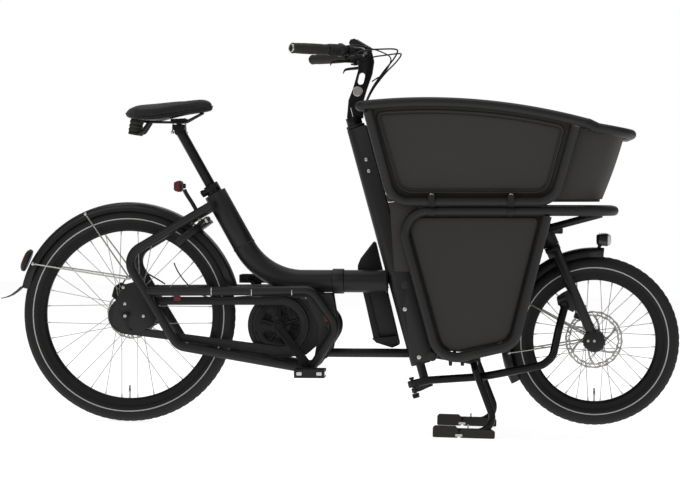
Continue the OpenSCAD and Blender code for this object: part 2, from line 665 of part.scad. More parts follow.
// Lever perches, display and hoses
lever_s = 46;
lever_drop = 34;
module perch() on_bar(lever_s) {
  rotate([0, 90, 0]) translate([0, 0, -8]) tube(18, 16, bar_r);
  translate([-14, 4, -lever_drop - 10]) difference() {
    cube([24, 20, 30]);
    translate([-1, 5, 5]) cube([26, 30, 11]);
  }
  translate([0, 17, -lever_drop - 9]) cylinder(r = 2.5, h = 20);
}
module display() slab([
  [690, 1178], [697, 1192], [710, 1194], [757, 1166], [764, 1153], [748, 1150]
], -34, 34);
hose_path = [
  [714, -206, 1126], [752, -190, 1148], [838, -120, 1155], [848, -88, 1146], [786, -40, 1074],
  [754, -20, 1022], [737, -10, 985]
];
module hose(side) mirror([0, side, 0])
  sweep(route(hose_path, [0, 40, 30, 25, 60, 40, 0], 3), 2.5, [0.2, 0.1, 1], 8);
module cockpit() {
  color("#141413") both_sides() perch();
  color("#201f1e") display();
  color("#0f0f0e") for (side = [0, 1]) hose(side);
}
module brake_lever() on_bar(lever_s) translate([0, 17, -lever_drop - 4.5]) {
  difference() {
    union() {
      cylinder(r = 6, h = 10);
      translate([0, -3, 1.5]) cube([84, 8, 7]);
    }
    translate([0, 0, -1]) cylinder(r = 2.5 + fit, h = 12);
  }
  translate([76, -3, -9]) cube([8, 7, 12]);
}
module right_brake_lever() color("#1a1918") brake_lever();
module left_brake_lever() color("#1a1918") mirror([0, 1, 0]) brake_lever();

// ---- Fork and front wheel -------------------------------------------------
leg_y = 62;
crown_t = -37;
module fork() color("#1b1a19") {
  in_head() {
    translate([0, 0, crown_t]) cylinder(r = 14.3, h = head_top + 10 - crown_t);
    translate([0, 0, head_top + 1]) cylinder(r = 20, h = 8);
    translate([0, 0, crown_t]) cylinder(r = 24, h = head_bottom - crown_t - 1);
    translate([-22, -leg_y - 14, crown_t - 16]) cube([44, 2 * leg_y + 28, 26]);
  }
  difference() {
    both_sides() union() {
      bar([1329, -leg_y, 540], [1441, -leg_y, 284], 15.5);
      slab([[1434, 300], [1452, 292], [1462, 262], [1456, 250], [1440, 250], [1428, 280]],
        -leg_y - 6, -leg_y + 6);
    }
    cross_pin(front_axle_at, 6 + fit, -90, 90);
  }
  front_axle();
  // Brake caliper on the left leg, round the edge of the disc
  difference() {
    union() {
      cross_pin([1400, 0, 352], 11, leg_y - 27, leg_y);
      slab([[1386, 330], [1408, 320], [1426, 366], [1402, 376]], leg_y - 24, leg_y + 4);
    }
    on_axle(front_axle_at) translate([0, 0, -46]) cylinder(r = front_disc_r + 1.5, h = 4);
  }
  // Arm above the steering rod's front end, with the stud that hangs into the rod
  slab([[1376, 426], [1400, 374], [1382, 352], [1336, 374], [1332, 398], [1348, 410]],
    -leg_y - 8, -leg_y + 6);
  rod_stud() {
    translate([0, 0, -9]) cylinder(r = 5, h = 28);
    translate([-14, -14, 14]) cube([28, 54, 8]);
  }
}
stud_hole_r = 7.5;
module rod_stud() translate(rod_front) rotate([0, -head_lean, 0]) children();
module front_mudguard() {
  color("#1a1918") guard_strip(front_axle_at, 288, 33, 28, 2, 84, 208);
  color("silver") both_sides() {
    bar([1232, -32, 386], [1437, -leg_y - 8, 272], 2.5);
    bar([1188, -32, 224], [1437, -leg_y - 8, 264], 2.5);
  }
}
module headlight() {
  color("#1a1918") slab([[1455, 556], [1455, 588], [1488, 592], [1488, 552]], -21, 21);
  color("#d8dde0") slab([
    [1488, 552], [1488, 592], [1497, 590], [1501, 580], [1501, 562], [1497, 554]
  ], -19, 19);
  color("#1a1918") slab([[1462, 556], [1474, 556], [1466, 540], [1456, 540]], -5, 5);
}

// ---- Wheels ---------------------------------------------------------------
// Wheels turn about Y; z in these modules runs to the right of the bicycle
module tyre(r, section, bead_r) rotate_extrude() difference() {
  translate([r - section, 0]) circle(r = section);
  translate([r - section, 0]) circle(r = section - 4.5);
  translate([0, -section]) square([bead_r, 2 * section]);
}
module rim(bead_r) rotate_extrude() polygon([
  [bead_r - 18, -5], [bead_r - 18, 5], [bead_r - 11, 14], [bead_r + 6, 15], [bead_r + 6, 12.5],
  [bead_r - 3, 11], [bead_r - 8, 5], [bead_r - 8, -5], [bead_r - 3, -11], [bead_r + 6, -12.5],
  [bead_r + 6, -15], [bead_r - 11, -14]
]);
// Half the spokes on each flange, leaning forwards and back in turn. The first one is half a
// step from the front, so the valve and the closed ring lock each have a gap to themselves.
module spoke_set(count, bead_r, hub_r, flange) for (k = [0:count - 1]) {
  side = k % 2 == 0 ? 1 : -1;
  lean = floor(k / 2) % 2 == 0 ? 1 : -1;
  a = 360 * (k + 0.5) / count;
  b = a + lean * 58;
  s = side * (flange + lean * 1.6);
  bar([hub_r * cos(b), hub_r * sin(b), s],
    [(bead_r - 16) * cos(a), (bead_r - 16) * sin(a), side * 3], 1);
}
module disc_rotor(r, z, bolt_r) translate([0, 0, z]) difference() {
  cylinder(r = r, h = 2, center = true);
  cylinder(r = bolt_r, h = 4, center = true);
  for (a = [0:20:359])
    rotate([0, 0, a]) translate([r - 9, 0, 0]) cylinder(r = 4, h = 4, center = true);
  for (a = [0:60:359])
    rotate([0, 0, a + 10]) translate([r - 34, 0, 0]) cylinder(r = 11, h = 4, center = true);
}
module rear_tyre() color("#1f1e1c") on_axle(rear_axle_at) tyre(rear_r, rear_section, 280);
module front_tyre() color("#1f1e1c") on_axle(front_axle_at) tyre(front_r, front_section, 205);
module valve(bead_r) rotate([0, 0, -90]) translate([bead_r - 52, 0, 0])
  rotate([0, 90, 0]) cylinder(r = 3, h = 46);
module rear_wheel() {
  on_axle(rear_axle_at) {
    color("#171615") rim(280);
    color("silver") valve(280);
    color("#171615") hub(5 + fit, 30, 36, 26);
  }
}
module rear_spokes() color("silver") on_axle(rear_axle_at) spoke_set(spokes, 280, 33, 27);
module rear_disc() color("#a9a6a0") on_axle(rear_axle_at) disc_rotor(rear_disc_r, -46, 22);
module front_wheel() on_axle(front_axle_at) {
  color("#171615") rim(205);
  color("silver") valve(205);
  color("#171615") hub(6 + fit, 24, 34, 28);
}
module front_spokes() color("silver") on_axle(front_axle_at) spoke_set(spokes, 205, 31, 29);
module front_disc() color("#a9a6a0") on_axle(front_axle_at) disc_rotor(front_disc_r, -44, 22);
module hub(bore, shell_r, flange_r, flange) difference() {
  union() {
    translate([0, 0, -flange]) cylinder(r = shell_r, h = 2 * flange);
    for (s = [-1, 1]) translate([0, 0, s * flange]) cylinder(r = flange_r, h = 6.5, center = true);
    translate([0, 0, -50]) cylinder(r = 21, h = 30);
    translate([0, 0, 20]) cylinder(r = 21, h = 22);
  }
  translate([0, 0, -60]) cylinder(r = bore, h = 120);
}
module front_axle() {
  cross_pin(front_axle_at, 6, -leg_y - 14, leg_y + 14);
  cross_pin(front_axle_at, 10, -leg_y - 12, -leg_y - 6);
  cross_pin(front_axle_at, 10, leg_y + 6, leg_y + 12);
}

// ---- Stand ----------------------------------------------------------------
stand_lift = rear_r * (1 - cos(stand_tip));
module level() rotate([0, stand_tip, 0]) translate([0, 0, -stand_lift]) children();
leg_out = 166;
foot_y = 178;
module stand_bracket() color("#1a1918") difference() {
  union() {
    bar([960, 0, 214], [1078, 0, 196], 12);
    cross_pin(stand_pivot, 17, -30, 30);
  }
  cross_pin(stand_pivot, 9 + fit, -40, 40);
}
module kickstand() {
  color("#191817") {
    cross_pin(stand_pivot, 9, -40, 40);
    both_sides() {
      cross_pin(stand_pivot, 13, -leg_out + 10, -32);
      sweep(route([
        [1082, -leg_out + 12, 196], [1086, -leg_out, 180], [1146, -foot_y, 22],
        [1104, -foot_y, -6], [985, -foot_y, -4]
      ], [0, 12, 40, 40, 0], 5), 10.5, [0, 1, 0], 14);
    }
  }
  color("#171615") both_sides() level() {
    translate([958, -foot_y - 14, 0]) cube([77, 28, 34]);
    translate([1040, -foot_y - 12, 0]) cube([106, 24, 27]);
  }
  color("silver") both_sides() level() translate([1035, -foot_y - 9, 3]) cube([5, 18, 6]);
}

on_stand() seat_tube();
on_stand() main_tube();
on_stand() frame_loops();
on_stand() frame_plates();
on_stand() column_housing();
on_stand() steering_bearings();
on_stand() side_cheeks();
on_stand() lower_tube();
on_stand() head_tube();
on_stand() box_loops();
on_stand() bumper_tube();
on_stand() box_cross_tubes();
on_stand() box_rim();
on_stand() nose_rim();
on_stand() upper_loops();
on_stand() lower_box();
on_stand() upper_box();
on_stand() box_clips();
on_stand() motor();
on_stand() battery();
on_stand() battery_cradle();
on_stand() chain_guard();
on_stand() chain();
on_stand() seat_collar();
on_stand() rear_mudguard();
on_stand() rear_lights();
on_stand() lock_body();
on_stand() rear_caliper();
on_stand() rear_axle();
on_stand() stand_bracket();
on_stand() lock_shackle();
on_stand() collar_lever();
on_stand() seat_post();
on_stand() saddle_rails();
on_stand() saddle();
on_stand() steering_shaft();
on_stand() stem();
on_stand() handlebar();
on_stand() grips();
on_stand() cockpit();
on_stand() shift_grip();
on_stand() right_brake_lever();
on_stand() left_brake_lever();
on_stand() steering_rod();
on_stand() fork();
on_stand() front_mudguard();
on_stand() headlight();
on_stand() front_wheel();
on_stand() front_tyre();
on_stand() front_spokes();
on_stand() front_disc();
on_stand() rear_wheel();
on_stand() rear_tyre();
on_stand() rear_spokes();
on_stand() rear_disc();
on_stand() crankset();
on_stand() sprocket();
on_stand() right_pedal();
on_stand() left_pedal();
on_stand() kickstand();
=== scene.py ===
"""Looks of the cargo bicycle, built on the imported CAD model.

Shapes are written in the bicycle's own frame in millimetres: x forward from the rear axle,
y to the left, z up from the line that touches both tyres. BIKE turns that into the model's
frame in metres, and is worked out from where the two wheels of the CAD model are.
"""

import math

import bmesh
import bpy
from mathutils import Matrix, Vector


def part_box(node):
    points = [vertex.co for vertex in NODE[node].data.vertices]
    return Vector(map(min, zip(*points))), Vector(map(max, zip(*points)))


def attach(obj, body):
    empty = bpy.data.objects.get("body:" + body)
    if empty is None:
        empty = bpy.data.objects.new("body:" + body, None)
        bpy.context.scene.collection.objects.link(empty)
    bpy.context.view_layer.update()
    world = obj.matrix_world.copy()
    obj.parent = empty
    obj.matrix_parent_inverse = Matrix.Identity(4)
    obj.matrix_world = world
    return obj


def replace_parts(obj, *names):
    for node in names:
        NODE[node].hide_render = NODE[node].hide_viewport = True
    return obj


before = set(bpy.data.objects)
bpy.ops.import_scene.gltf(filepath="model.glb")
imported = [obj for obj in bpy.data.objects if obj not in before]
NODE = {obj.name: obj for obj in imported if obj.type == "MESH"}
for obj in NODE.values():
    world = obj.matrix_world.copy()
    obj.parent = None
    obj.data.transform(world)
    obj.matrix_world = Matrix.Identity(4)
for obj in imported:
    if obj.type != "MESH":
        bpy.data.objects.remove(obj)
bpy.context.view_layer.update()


# ---- The bicycle's frame -----------------------------------------------------
def wheel_place(tyre):
    """Centre and radius of a wheel, in the model's frame."""
    low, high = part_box(tyre)
    return (low + high) / 2, (high.z - low.z) / 2


rear_centre, rear_radius = wheel_place("rear_tyre")
front_centre, front_radius = wheel_place("front_tyre")
REAR_R = rear_radius * 1000
FRONT_R = front_radius * 1000
step = front_centre - rear_centre
WHEELBASE = math.sqrt(step.length_squared - (rear_radius - front_radius) ** 2) * 1000
tip = math.atan2(step.z, step.x) - math.atan2(FRONT_R - REAR_R, WHEELBASE)
BIKE = (
    Matrix.Translation(rear_centre)
    @ Matrix.Rotation(-tip, 4, "Y")
    @ Matrix.Scale(0.001, 4)
    @ Matrix.Translation((0, 0, -REAR_R))
)


def tilted(origin, lean):
    """A frame at origin whose z axis leans back by lean degrees."""
    return BIKE @ Matrix.Translation(origin) @ Matrix.Rotation(math.radians(-lean), 4, "Y")


SEAT_TOP = Vector((270, 0, 715))
SEAT_LEAN = 29.3
COLUMN_LEAN = 15.28
COLUMN_UP = Matrix.Translation((709, 0, 928)) @ Matrix.Rotation(math.radians(-COLUMN_LEAN), 4, "Y")
SEAT = tilted(SEAT_TOP, SEAT_LEAN)
LOCK = tilted((184.6, 0, 581.6), 37)
REAR_AXLE = BIKE @ Matrix.Translation((0, 0, REAR_R)) @ Matrix.Rotation(math.radians(90), 4, "X")
FRONT_AXLE = (
    BIKE @ Matrix.Translation((WHEELBASE, 0, FRONT_R)) @ Matrix.Rotation(math.radians(90), 4, "X")
)
CRANK_AT = Vector((480, 0, 306))
MIRROR = Matrix.Scale(-1, 4, (0, 1, 0))


# ---- Camera, lights and floor ------------------------------------------------
def place_camera():
    """The camera of the picture, low and a little ahead of square to the bicycle's right side."""
    yaw = math.radians(4.592)
    pitch = math.radians(1.365)
    distance = 7214.55
    eye = Vector((661.67 + distance * math.sin(yaw), -distance * math.cos(yaw), 741.91))
    right = Vector((math.cos(yaw), math.sin(yaw), 0))
    ahead = Vector((-math.sin(yaw) * math.cos(pitch), math.cos(yaw) * math.cos(pitch),
                    -math.sin(pitch)))
    up = right.cross(ahead)
    turn = (BIKE.to_3x3() @ Matrix((right, up, -ahead)).transposed()).normalized()
    data = bpy.data.cameras.new("camera")
    data.lens = 122.8
    data.sensor_width = 36
    data.clip_end = 60
    camera = bpy.data.objects.new("camera", data)
    camera.matrix_world = Matrix.Translation(BIKE @ eye) @ turn.to_4x4()
    bpy.context.scene.collection.objects.link(camera)
    bpy.context.scene.camera = camera


place_camera()


def area_light(name, at, target, size, power):
    data = bpy.data.lights.new(name, "AREA")
    data.shape = "RECTANGLE"
    data.size, data.size_y = size
    data.energy = power
    lamp = bpy.data.objects.new(name, data)
    lamp.location = at
    lamp.rotation_euler = (Vector(target) - Vector(at)).to_track_quat("-Z", "Y").to_euler()
    bpy.context.scene.collection.objects.link(lamp)


def light_studio():
    """Soft lamps, and a white room that shows brighter than it shines."""
    area_light("key", (-2.4, -4.4, 3.6), (0, 0, 0.5), (3.2, 2.4), 52)
    area_light("fill", (3.6, -4.2, 2.0), (0.3, 0, 0.5), (2.6, 2.4), 24)
    area_light("top", (0, 0.4, 4.8), (0, 0, 0.4), (5.0, 3.0), 84)
    area_light("back", (0.5, 4.5, 3.2), (0, 0, 0.5), (4.0, 2.5), 36)
    scene = bpy.context.scene
    scene.view_settings.view_transform = "Standard"
    world = bpy.data.worlds.new("studio")
    scene.world = world
    world.use_nodes = True
    tree = world.node_tree
    seen = tree.nodes.new("ShaderNodeLightPath")
    strength = tree.nodes.new("ShaderNodeMapRange")
    strength.inputs["To Min"].default_value = 0.24
    strength.inputs["To Max"].default_value = 1.0
    tree.links.new(seen.outputs["Is Camera Ray"], strength.inputs["Value"])
    tree.links.new(strength.outputs["Result"], tree.nodes["Background"].inputs["Strength"])
    tree.nodes["Background"].inputs["Color"].default_value = (1, 1, 1, 1)


light_studio()


# ---- Materials -----------------------------------------------------------------
def surface(
    name, colour, rough, metallic=0.0, grain=None, vary=0.12, vary_scale=9.0, rough_vary=0.06,
    coat=0.0, sheen=0.0, specular=0.34, scuff=0.0,
):
    """A material whose colour, roughness and relief vary over the surface.

    grain is (texture, size in millimetres, depth in millimetres).
    """
    material = bpy.data.materials.new(name)
    material.use_nodes = True
    tree = material.node_tree
    nodes = tree.nodes
    link = tree.links.new
    shader = nodes["Principled BSDF"]
    shader.inputs["Metallic"].default_value = metallic
    shader.inputs["Specular IOR Level"].default_value = specular
    shader.inputs["Coat Weight"].default_value = coat
    shader.inputs["Coat Roughness"].default_value = 0.12
    shader.inputs["Sheen Weight"].default_value = sheen
    place = nodes.new("ShaderNodeTexCoord")

    clouds = nodes.new("ShaderNodeTexNoise")
    clouds.inputs["Scale"].default_value = vary_scale
    clouds.inputs["Detail"].default_value = 5
    link(place.outputs["Object"], clouds.inputs["Vector"])
    tint = nodes.new("ShaderNodeMix")
    tint.data_type = "RGBA"
    tint.inputs[6].default_value = (*[c * (1 - vary) for c in colour], 1)
    tint.inputs[7].default_value = (*[min(1, c * (1 + vary)) for c in colour], 1)
    link(clouds.outputs["Fac"], tint.inputs[0])
    last_colour = tint.outputs[2]
    if scuff:
        marks = nodes.new("ShaderNodeTexNoise")
        marks.inputs["Scale"].default_value = 160
        marks.inputs["Detail"].default_value = 8
        marks.inputs["Distortion"].default_value = 1.2
        link(place.outputs["Object"], marks.inputs["Vector"])
        sharp = nodes.new("ShaderNodeMapRange")
        sharp.inputs["From Min"].default_value = 0.66
        sharp.inputs["From Max"].default_value = 0.8
        sharp.inputs["To Max"].default_value = scuff
        link(marks.outputs["Fac"], sharp.inputs["Value"])
        wear = nodes.new("ShaderNodeMix")
        wear.data_type = "RGBA"
        wear.inputs[7].default_value = (*[min(1, c * 2.2 + 0.03) for c in colour], 1)
        link(sharp.outputs["Result"], wear.inputs[0])
        link(last_colour, wear.inputs[6])
        last_colour = wear.outputs[2]
    link(last_colour, shader.inputs["Base Color"])

    haze = nodes.new("ShaderNodeMapRange")
    haze.inputs["To Min"].default_value = max(0.02, rough - rough_vary)
    haze.inputs["To Max"].default_value = min(1, rough + rough_vary)
    link(clouds.outputs["Fac"], haze.inputs["Value"])
    link(haze.outputs["Result"], shader.inputs["Roughness"])

    if grain:
        texture, size, depth = grain
        if texture == "voronoi":
            relief = nodes.new("ShaderNodeTexVoronoi")
            out = relief.outputs["Distance"]
        else:
            relief = nodes.new("ShaderNodeTexNoise")
            relief.inputs["Detail"].default_value = 6
            out = relief.outputs["Fac"]
        relief.inputs["Scale"].default_value = 1000 / size
        link(place.outputs["Object"], relief.inputs["Vector"])
        bump = nodes.new("ShaderNodeBump")
        bump.inputs["Strength"].default_value = 0.7
        bump.inputs["Distance"].default_value = depth / 1000
        link(out, bump.inputs["Height"])
        link(bump.outputs["Normal"], shader.inputs["Normal"])
    return material


POWDER = surface("powder_coat", (0.0074, 0.0072, 0.0069), 0.46, grain=("noise", 1.6, 0.05), scuff=0.12)
TUBES = surface("box_tube_coat", (0.0105, 0.0101, 0.0097), 0.5, grain=("noise", 1.6, 0.05), scuff=0.1)
SHELL = surface("box_shell", (0.0272, 0.0244, 0.0210), 0.62, grain=("voronoi", 1.8, 0.25), vary=0.1)
SHELL_IN = surface("box_inside", (0.028, 0.0255, 0.022), 0.7, grain=("voronoi", 2.2, 0.3))
PLASTIC = surface("black_plastic", (0.0066, 0.0066, 0.0063), 0.5, grain=("voronoi", 0.9, 0.08))
GUARD = surface("mudguard_plastic", (0.0067, 0.0065, 0.0063), 0.36, grain=("noise", 2.5, 0.03))
GLOSS = surface("gloss_black", (0.008, 0.008, 0.0082), 0.14, coat=0.5, vary=0.05)
ALLOY_BLACK = surface("anodised_black", (0.0096, 0.0093, 0.0090), 0.34, metallic=0.6,
                      grain=("noise", 0.5, 0.02))
ALLOY = surface("bright_alloy", (0.55, 0.54, 0.52), 0.3, metallic=1, grain=("noise", 0.6, 0.02), vary=0.08)
STEEL = surface("steel", (0.42, 0.41, 0.39), 0.28, metallic=1, grain=("noise", 0.4, 0.02), vary=0.1)
SPOKE = surface("spoke_steel", (0.36, 0.355, 0.345), 0.3, metallic=0.9, vary=0.08)
RUBBER = surface("tyre_rubber", (0.0099, 0.0096, 0.0093), 0.72, grain=("noise", 1.2, 0.12), rough_vary=0.1)
GRIP = surface("grip_rubber", (0.0176, 0.0164, 0.0148), 0.66, grain=("voronoi", 1.4, 0.2))
STRIPE = surface("reflective_stripe", (0.42, 0.42, 0.415), 0.42, grain=("voronoi", 0.6, 0.05), vary=0.06)
RED = surface("red_lens", (0.35, 0.012, 0.010), 0.16, coat=0.6, grain=("voronoi", 3.0, 0.5))
RED_DARK = surface("red_reflector", (0.12, 0.008, 0.006), 0.25, coat=0.4, grain=("voronoi", 2.4, 0.5))
LENS = surface("lamp_lens", (0.62, 0.64, 0.66), 0.08, coat=0.8, grain=("voronoi", 4.0, 0.3))
CHAIN = surface("chain_steel", (0.13, 0.125, 0.118), 0.36, metallic=0.9, grain=("noise", 0.5, 0.03))
HOSE = surface("hose_rubber", (0.0072, 0.0072, 0.0072), 0.42, grain=("noise", 0.8, 0.02))
VINYL = surface("saddle_vinyl", (0.0075, 0.0073, 0.0071), 0.55, grain=("voronoi", 1.1, 0.12), sheen=0.1)
SCREEN = surface("display_glass", (0.006, 0.007, 0.008), 0.08, coat=0.9, vary=0.02)
LINER = surface("rim_black", (0.0066, 0.0066, 0.0065), 0.4, metallic=0.4, grain=("noise", 0.6, 0.02))

CAD_FINISH = {
    POWDER: """seat_tube frame_plates column_housing lower_tube head_tube side_cheeks stand_bracket
        fork steering_shaft main_tube frame_loops box_loops bumper_tube box_rim nose_rim
        upper_loops""",
    TUBES: "box_cross_tubes",
    ALLOY: "steering_bearings rear_axle collar_lever sprocket",
    STEEL: "lock_shackle front_disc rear_disc",
    SPOKE: "front_spokes rear_spokes",
    ALLOY_BLACK: """stem seat_post seat_collar rear_caliper crankset handlebar steering_rod
        kickstand saddle_rails""",
    LINER: "front_wheel rear_wheel",
    SHELL: "lower_box upper_box",
    PLASTIC: """box_clips battery_cradle chain_guard lock_body cockpit shift_grip right_brake_lever
        left_brake_lever right_pedal left_pedal motor battery""",
    GUARD: "rear_mudguard front_mudguard",
    GLOSS: "headlight",
    RED: "rear_lights",
    CHAIN: "chain",
    RUBBER: "rear_tyre front_tyre",
    GRIP: "grips",
    VINYL: "saddle",
}


def finish_cad():
    """Gives every CAD node its material."""
    for material, names in CAD_FINISH.items():
        for name in names.split():
            mesh = NODE[name].data
            mesh.materials.clear()
            mesh.materials.append(material)


finish_cad()


# ---- Mesh helpers --------------------------------------------------------------
def add_piece(name, points, faces, body, material, space=BIKE, smooth=40, bevel=0.0, segments=2):
    """Makes a mesh piece from points in space, rides it on body and returns it.

    smooth is the angle in degrees under which edges shade smooth, and bevel is in millimetres.
    """
    mesh = bpy.data.meshes.new(name)
    mesh.from_pydata([space @ Vector(p) for p in points], [], faces)
    mesh.update()
    shape = bmesh.new()
    shape.from_mesh(mesh)
    bmesh.ops.recalc_face_normals(shape, faces=shape.faces)
    shape.to_mesh(mesh)
    shape.free()
    for material_used in material if isinstance(material, (list, tuple)) else [material]:
        mesh.materials.append(material_used)
    piece = bpy.data.objects.new(name, mesh)
    bpy.context.scene.collection.objects.link(piece)
    if bevel:
        rounding = piece.modifiers.new("edges", "BEVEL")
        rounding.width = bevel / 1000
        rounding.segments = segments
        rounding.limit_method = "ANGLE"
        rounding.angle_limit = math.radians(35)
    mesh.shade_smooth()
    mesh.set_sharp_from_angle(angle=math.radians(smooth))
    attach(piece, body)
    return piece


def angles(count):
    """Angles of count points spread evenly round a circle."""
    return [2 * math.pi * k / count for k in range(count)]


def squarish(a, power):
    """The cosine and sine of a, pushed towards a square by a power under 1."""
    c, s = math.cos(a), math.sin(a)
    return math.copysign(abs(c) ** power, c), math.copysign(abs(s) ** power, s)


def bend_points(a, b, c, bend, steps):
    """Points round the corner b of the path a, b, c, bent to a radius."""
    first = (b - a).normalized()
    second = (c - b).normalized()
    angle = first.angle(second)
    if bend == 0 or angle < 0.02:
        return [b]
    start = b - first * bend * math.tan(angle / 2)
    inward = (second - first * first.dot(second)).normalized()
    centre = start + inward * bend
    return [
        centre - inward * bend * math.cos(t) + first * bend * math.sin(t)
        for t in (angle * k / steps for k in range(steps + 1))
    ]


def route(corners, bends, steps=14):
    """Corner points with each corner rounded to its own bend radius."""
    corners = [Vector(c) for c in corners]
    path = [corners[0]]
    for before, corner, after, bend in zip(corners, corners[1:], corners[2:], bends[1:-1]):
        path += bend_points(before, corner, after, bend, steps)
    return path + [corners[-1]]


def spline_path(points, per_span=8):
    """A smooth path through points, as a Catmull-Rom curve."""
    pts = [Vector(p) for p in points]
    pts = [pts[0] * 2 - pts[1]] + pts + [pts[-1] * 2 - pts[-2]]
    path = []
    for p0, p1, p2, p3 in zip(pts, pts[1:], pts[2:], pts[3:]):
        for k in range(per_span):
            t = k / per_span
            path.append(
                0.5 * (2 * p1 + (p2 - p0) * t + (2 * p0 - 5 * p1 + 4 * p2 - p3) * t * t
                       + (3 * p1 - p0 - 3 * p2 + p3) * t ** 3)
            )
    return path + [pts[-2]]


def rings_along(path, radius, sides):
    """Rings of points round a path, with as little twist as possible."""
    path = [Vector(p) for p in path]
    count = len(path)
    normal = None
    rings = []
    for i, point in enumerate(path):
        ahead = (path[min(i + 1, count - 1)] - point).normalized() if i < count - 1 else Vector()
        behind = (point - path[i - 1]).normalized() if i else Vector()
        along = (ahead + behind).normalized()
        if normal is None:
            normal = along.orthogonal().normalized()
        normal = (normal - along * normal.dot(along)).normalized()
        side = along.cross(normal)
        r = radius(i / (count - 1)) if callable(radius) else radius
        rings.append([point + (normal * math.cos(a) + side * math.sin(a)) * r for a in angles(sides)])
    return rings


def skin(rings, closed=False, capped=True):
    """Points and faces of a surface through rings of the same count."""
    sides = len(rings[0])
    points = [p for ring in rings for p in ring]
    faces = []
    spans = len(rings) if closed else len(rings) - 1
    for i in range(spans):
        a = i * sides
        b = ((i + 1) % len(rings)) * sides
        for k in range(sides):
            n = (k + 1) % sides
            faces.append((a + k, a + n, b + n, b + k))
    if capped and not closed:
        faces.append(tuple(reversed(range(sides))))
        faces.append(tuple(len(points) - sides + k for k in range(sides)))
    return points, faces


def tube_shape(path, radius, sides=28):
    """Points and faces of a closed round tube. radius is a number or a function of 0 to 1."""
    return skin(rings_along(path, radius, sides))


def tube(name, path, radius, body, material, space=BIKE, sides=28, mirror=False, capped=True):
    """A round tube along a path, and its mirror image if asked."""
    points, faces = skin(rings_along(path, radius, sides), capped=capped)
    if mirror:
        count = len(points)
        points = points + [MIRROR @ Vector(p) for p in points]
        faces = faces + [tuple(count + k for k in reversed(f)) for f in faces]
    return add_piece(name, points, faces, body, material, space)


def merge(parts):
    """Joins (points, faces) pairs into one."""
    points = []
    faces = []
    for some_points, some_faces in parts:
        start = len(points)
        points += [Vector(p) for p in some_points]
        faces += [tuple(start + k for k in f) for f in some_faces]
    return points, faces


def placed(shape, matrix):
    points, faces = shape
    return [matrix @ Vector(p) for p in points], faces


def both_sides(shape):
    return merge([shape, placed(shape, MIRROR)])


def lathe(profile, sides=48):
    """Points and faces of (radius, height) pairs turned about z. The profile is open."""
    points = [Vector((r * math.cos(a), r * math.sin(a), z)) for a in angles(sides) for r, z in profile]
    width = len(profile)
    faces = []
    for k in range(sides):
        a = k * width
        b = ((k + 1) % sides) * width
        for i in range(width - 1):
            faces.append((a + i, b + i, b + i + 1, a + i + 1))
    return points, faces


def prism(outline, low, high):
    """An outline of (x, z) points made solid from y = low to y = high."""
    count = len(outline)
    points = [(x, low, z) for x, z in outline] + [(x, high, z) for x, z in outline]
    faces = [tuple(range(count)), tuple(reversed(range(count, 2 * count)))]
    faces += [(k, (k + 1) % count, count + (k + 1) % count, count + k) for k in range(count)]
    return points, faces


def rounded(outline, radius, steps=5):
    """An outline of (x, z) corners with every corner rounded."""
    corners = [Vector((x, 0, z)) for x, z in outline]
    count = len(corners)
    path = []
    for i in range(count):
        a, b, c = corners[i - 1], corners[i], corners[(i + 1) % count]
        room = min((b - a).length, (c - b).length) * 0.45
        angle = (b - a).angle(c - b)
        bend = min(radius, room / max(0.05, math.tan(angle / 2)))
        path += bend_points(a, b, c, bend, steps)
    return [(p.x, p.z) for p in path]


def rectangle(x0, x1, z0, z1, radius):
    """The outline of a rectangle with rounded corners."""
    return rounded([(x0, z0), (x1, z0), (x1, z1), (x0, z1)], radius)


def head_screw(radius=6.0, height=4.0):
    """A round screw head with a hexagonal socket, along +z from z = 0."""
    outer = [(radius, 0), (radius, height * 0.55), (radius * 0.93, height * 0.85),
             (radius * 0.78, height)]
    sides = 24
    points, faces = lathe(outer, sides)
    rim = [k * 4 + 3 for k in range(sides)]
    start = len(points)
    socket = radius * 0.52
    for depth in (height, height * 0.35):
        for a in angles(sides):
            hexed = socket * math.cos(math.pi / 6) / math.cos((a % (math.pi / 3)) - math.pi / 6)
            points.append(Vector((hexed * math.cos(a), hexed * math.sin(a), depth)))
    for k in range(sides):
        n = (k + 1) % sides
        faces.append((rim[k], rim[n], start + n, start + k))
        faces.append((start + k, start + n, start + sides + n, start + sides + k))
    faces.append(tuple(start + sides + k for k in range(sides)))
    return points, faces


def facing(at, out, roll=0.0):
    """A frame at a point whose z axis points along out."""
    return (
        Matrix.Translation(at)
        @ Vector(out).to_track_quat("Z", "Y").to_matrix().to_4x4()
        @ Matrix.Rotation(roll, 4, "Z")
    )


def screws(name, places, body, material=None, radius=6.0, height=4.0):
    """One piece of screw heads. places is a list of (point, outward direction)."""
    shapes = [
        placed(head_screw(radius, height), facing(at, out, 0.4 * k)) for k, (at, out) in enumerate(places)
    ]
    return add_piece(name, *merge(shapes), body, material or ALLOY, smooth=35)


RIGHT = (0, -1, 0)
LEFT = (0, 1, 0)
AHEAD = (1, 0, 0)


# ---- Frame tubes -----------------------------------------------------------------
MAIN_Z = 442
MAIN_R = 35
LOOP_R = 14
BOX_TUBE_R = 15
STAY_Y = 79
LOWER_Y = 215
RIM_Y = 283


def weld(at, along, radius, width=3.2):
    """A raised, rippled bead round a tube."""
    points = []
    sides = 64
    around = 14
    for a in angles(sides):
        wave = math.sin(a * 22)
        for b in angles(around):
            r = radius + (width * 0.45 + 0.35 * wave) * math.cos(b)
            points.append(Vector((r * math.cos(a), r * math.sin(a), width * math.sin(b) + 0.4 * wave)))
    faces = []
    for k in range(sides):
        for j in range(around):
            n = (k + 1) % sides
            m = (j + 1) % around
            faces.append((k * around + j, n * around + j, n * around + m, k * around + m))
    return placed((points, faces), facing(at, along))


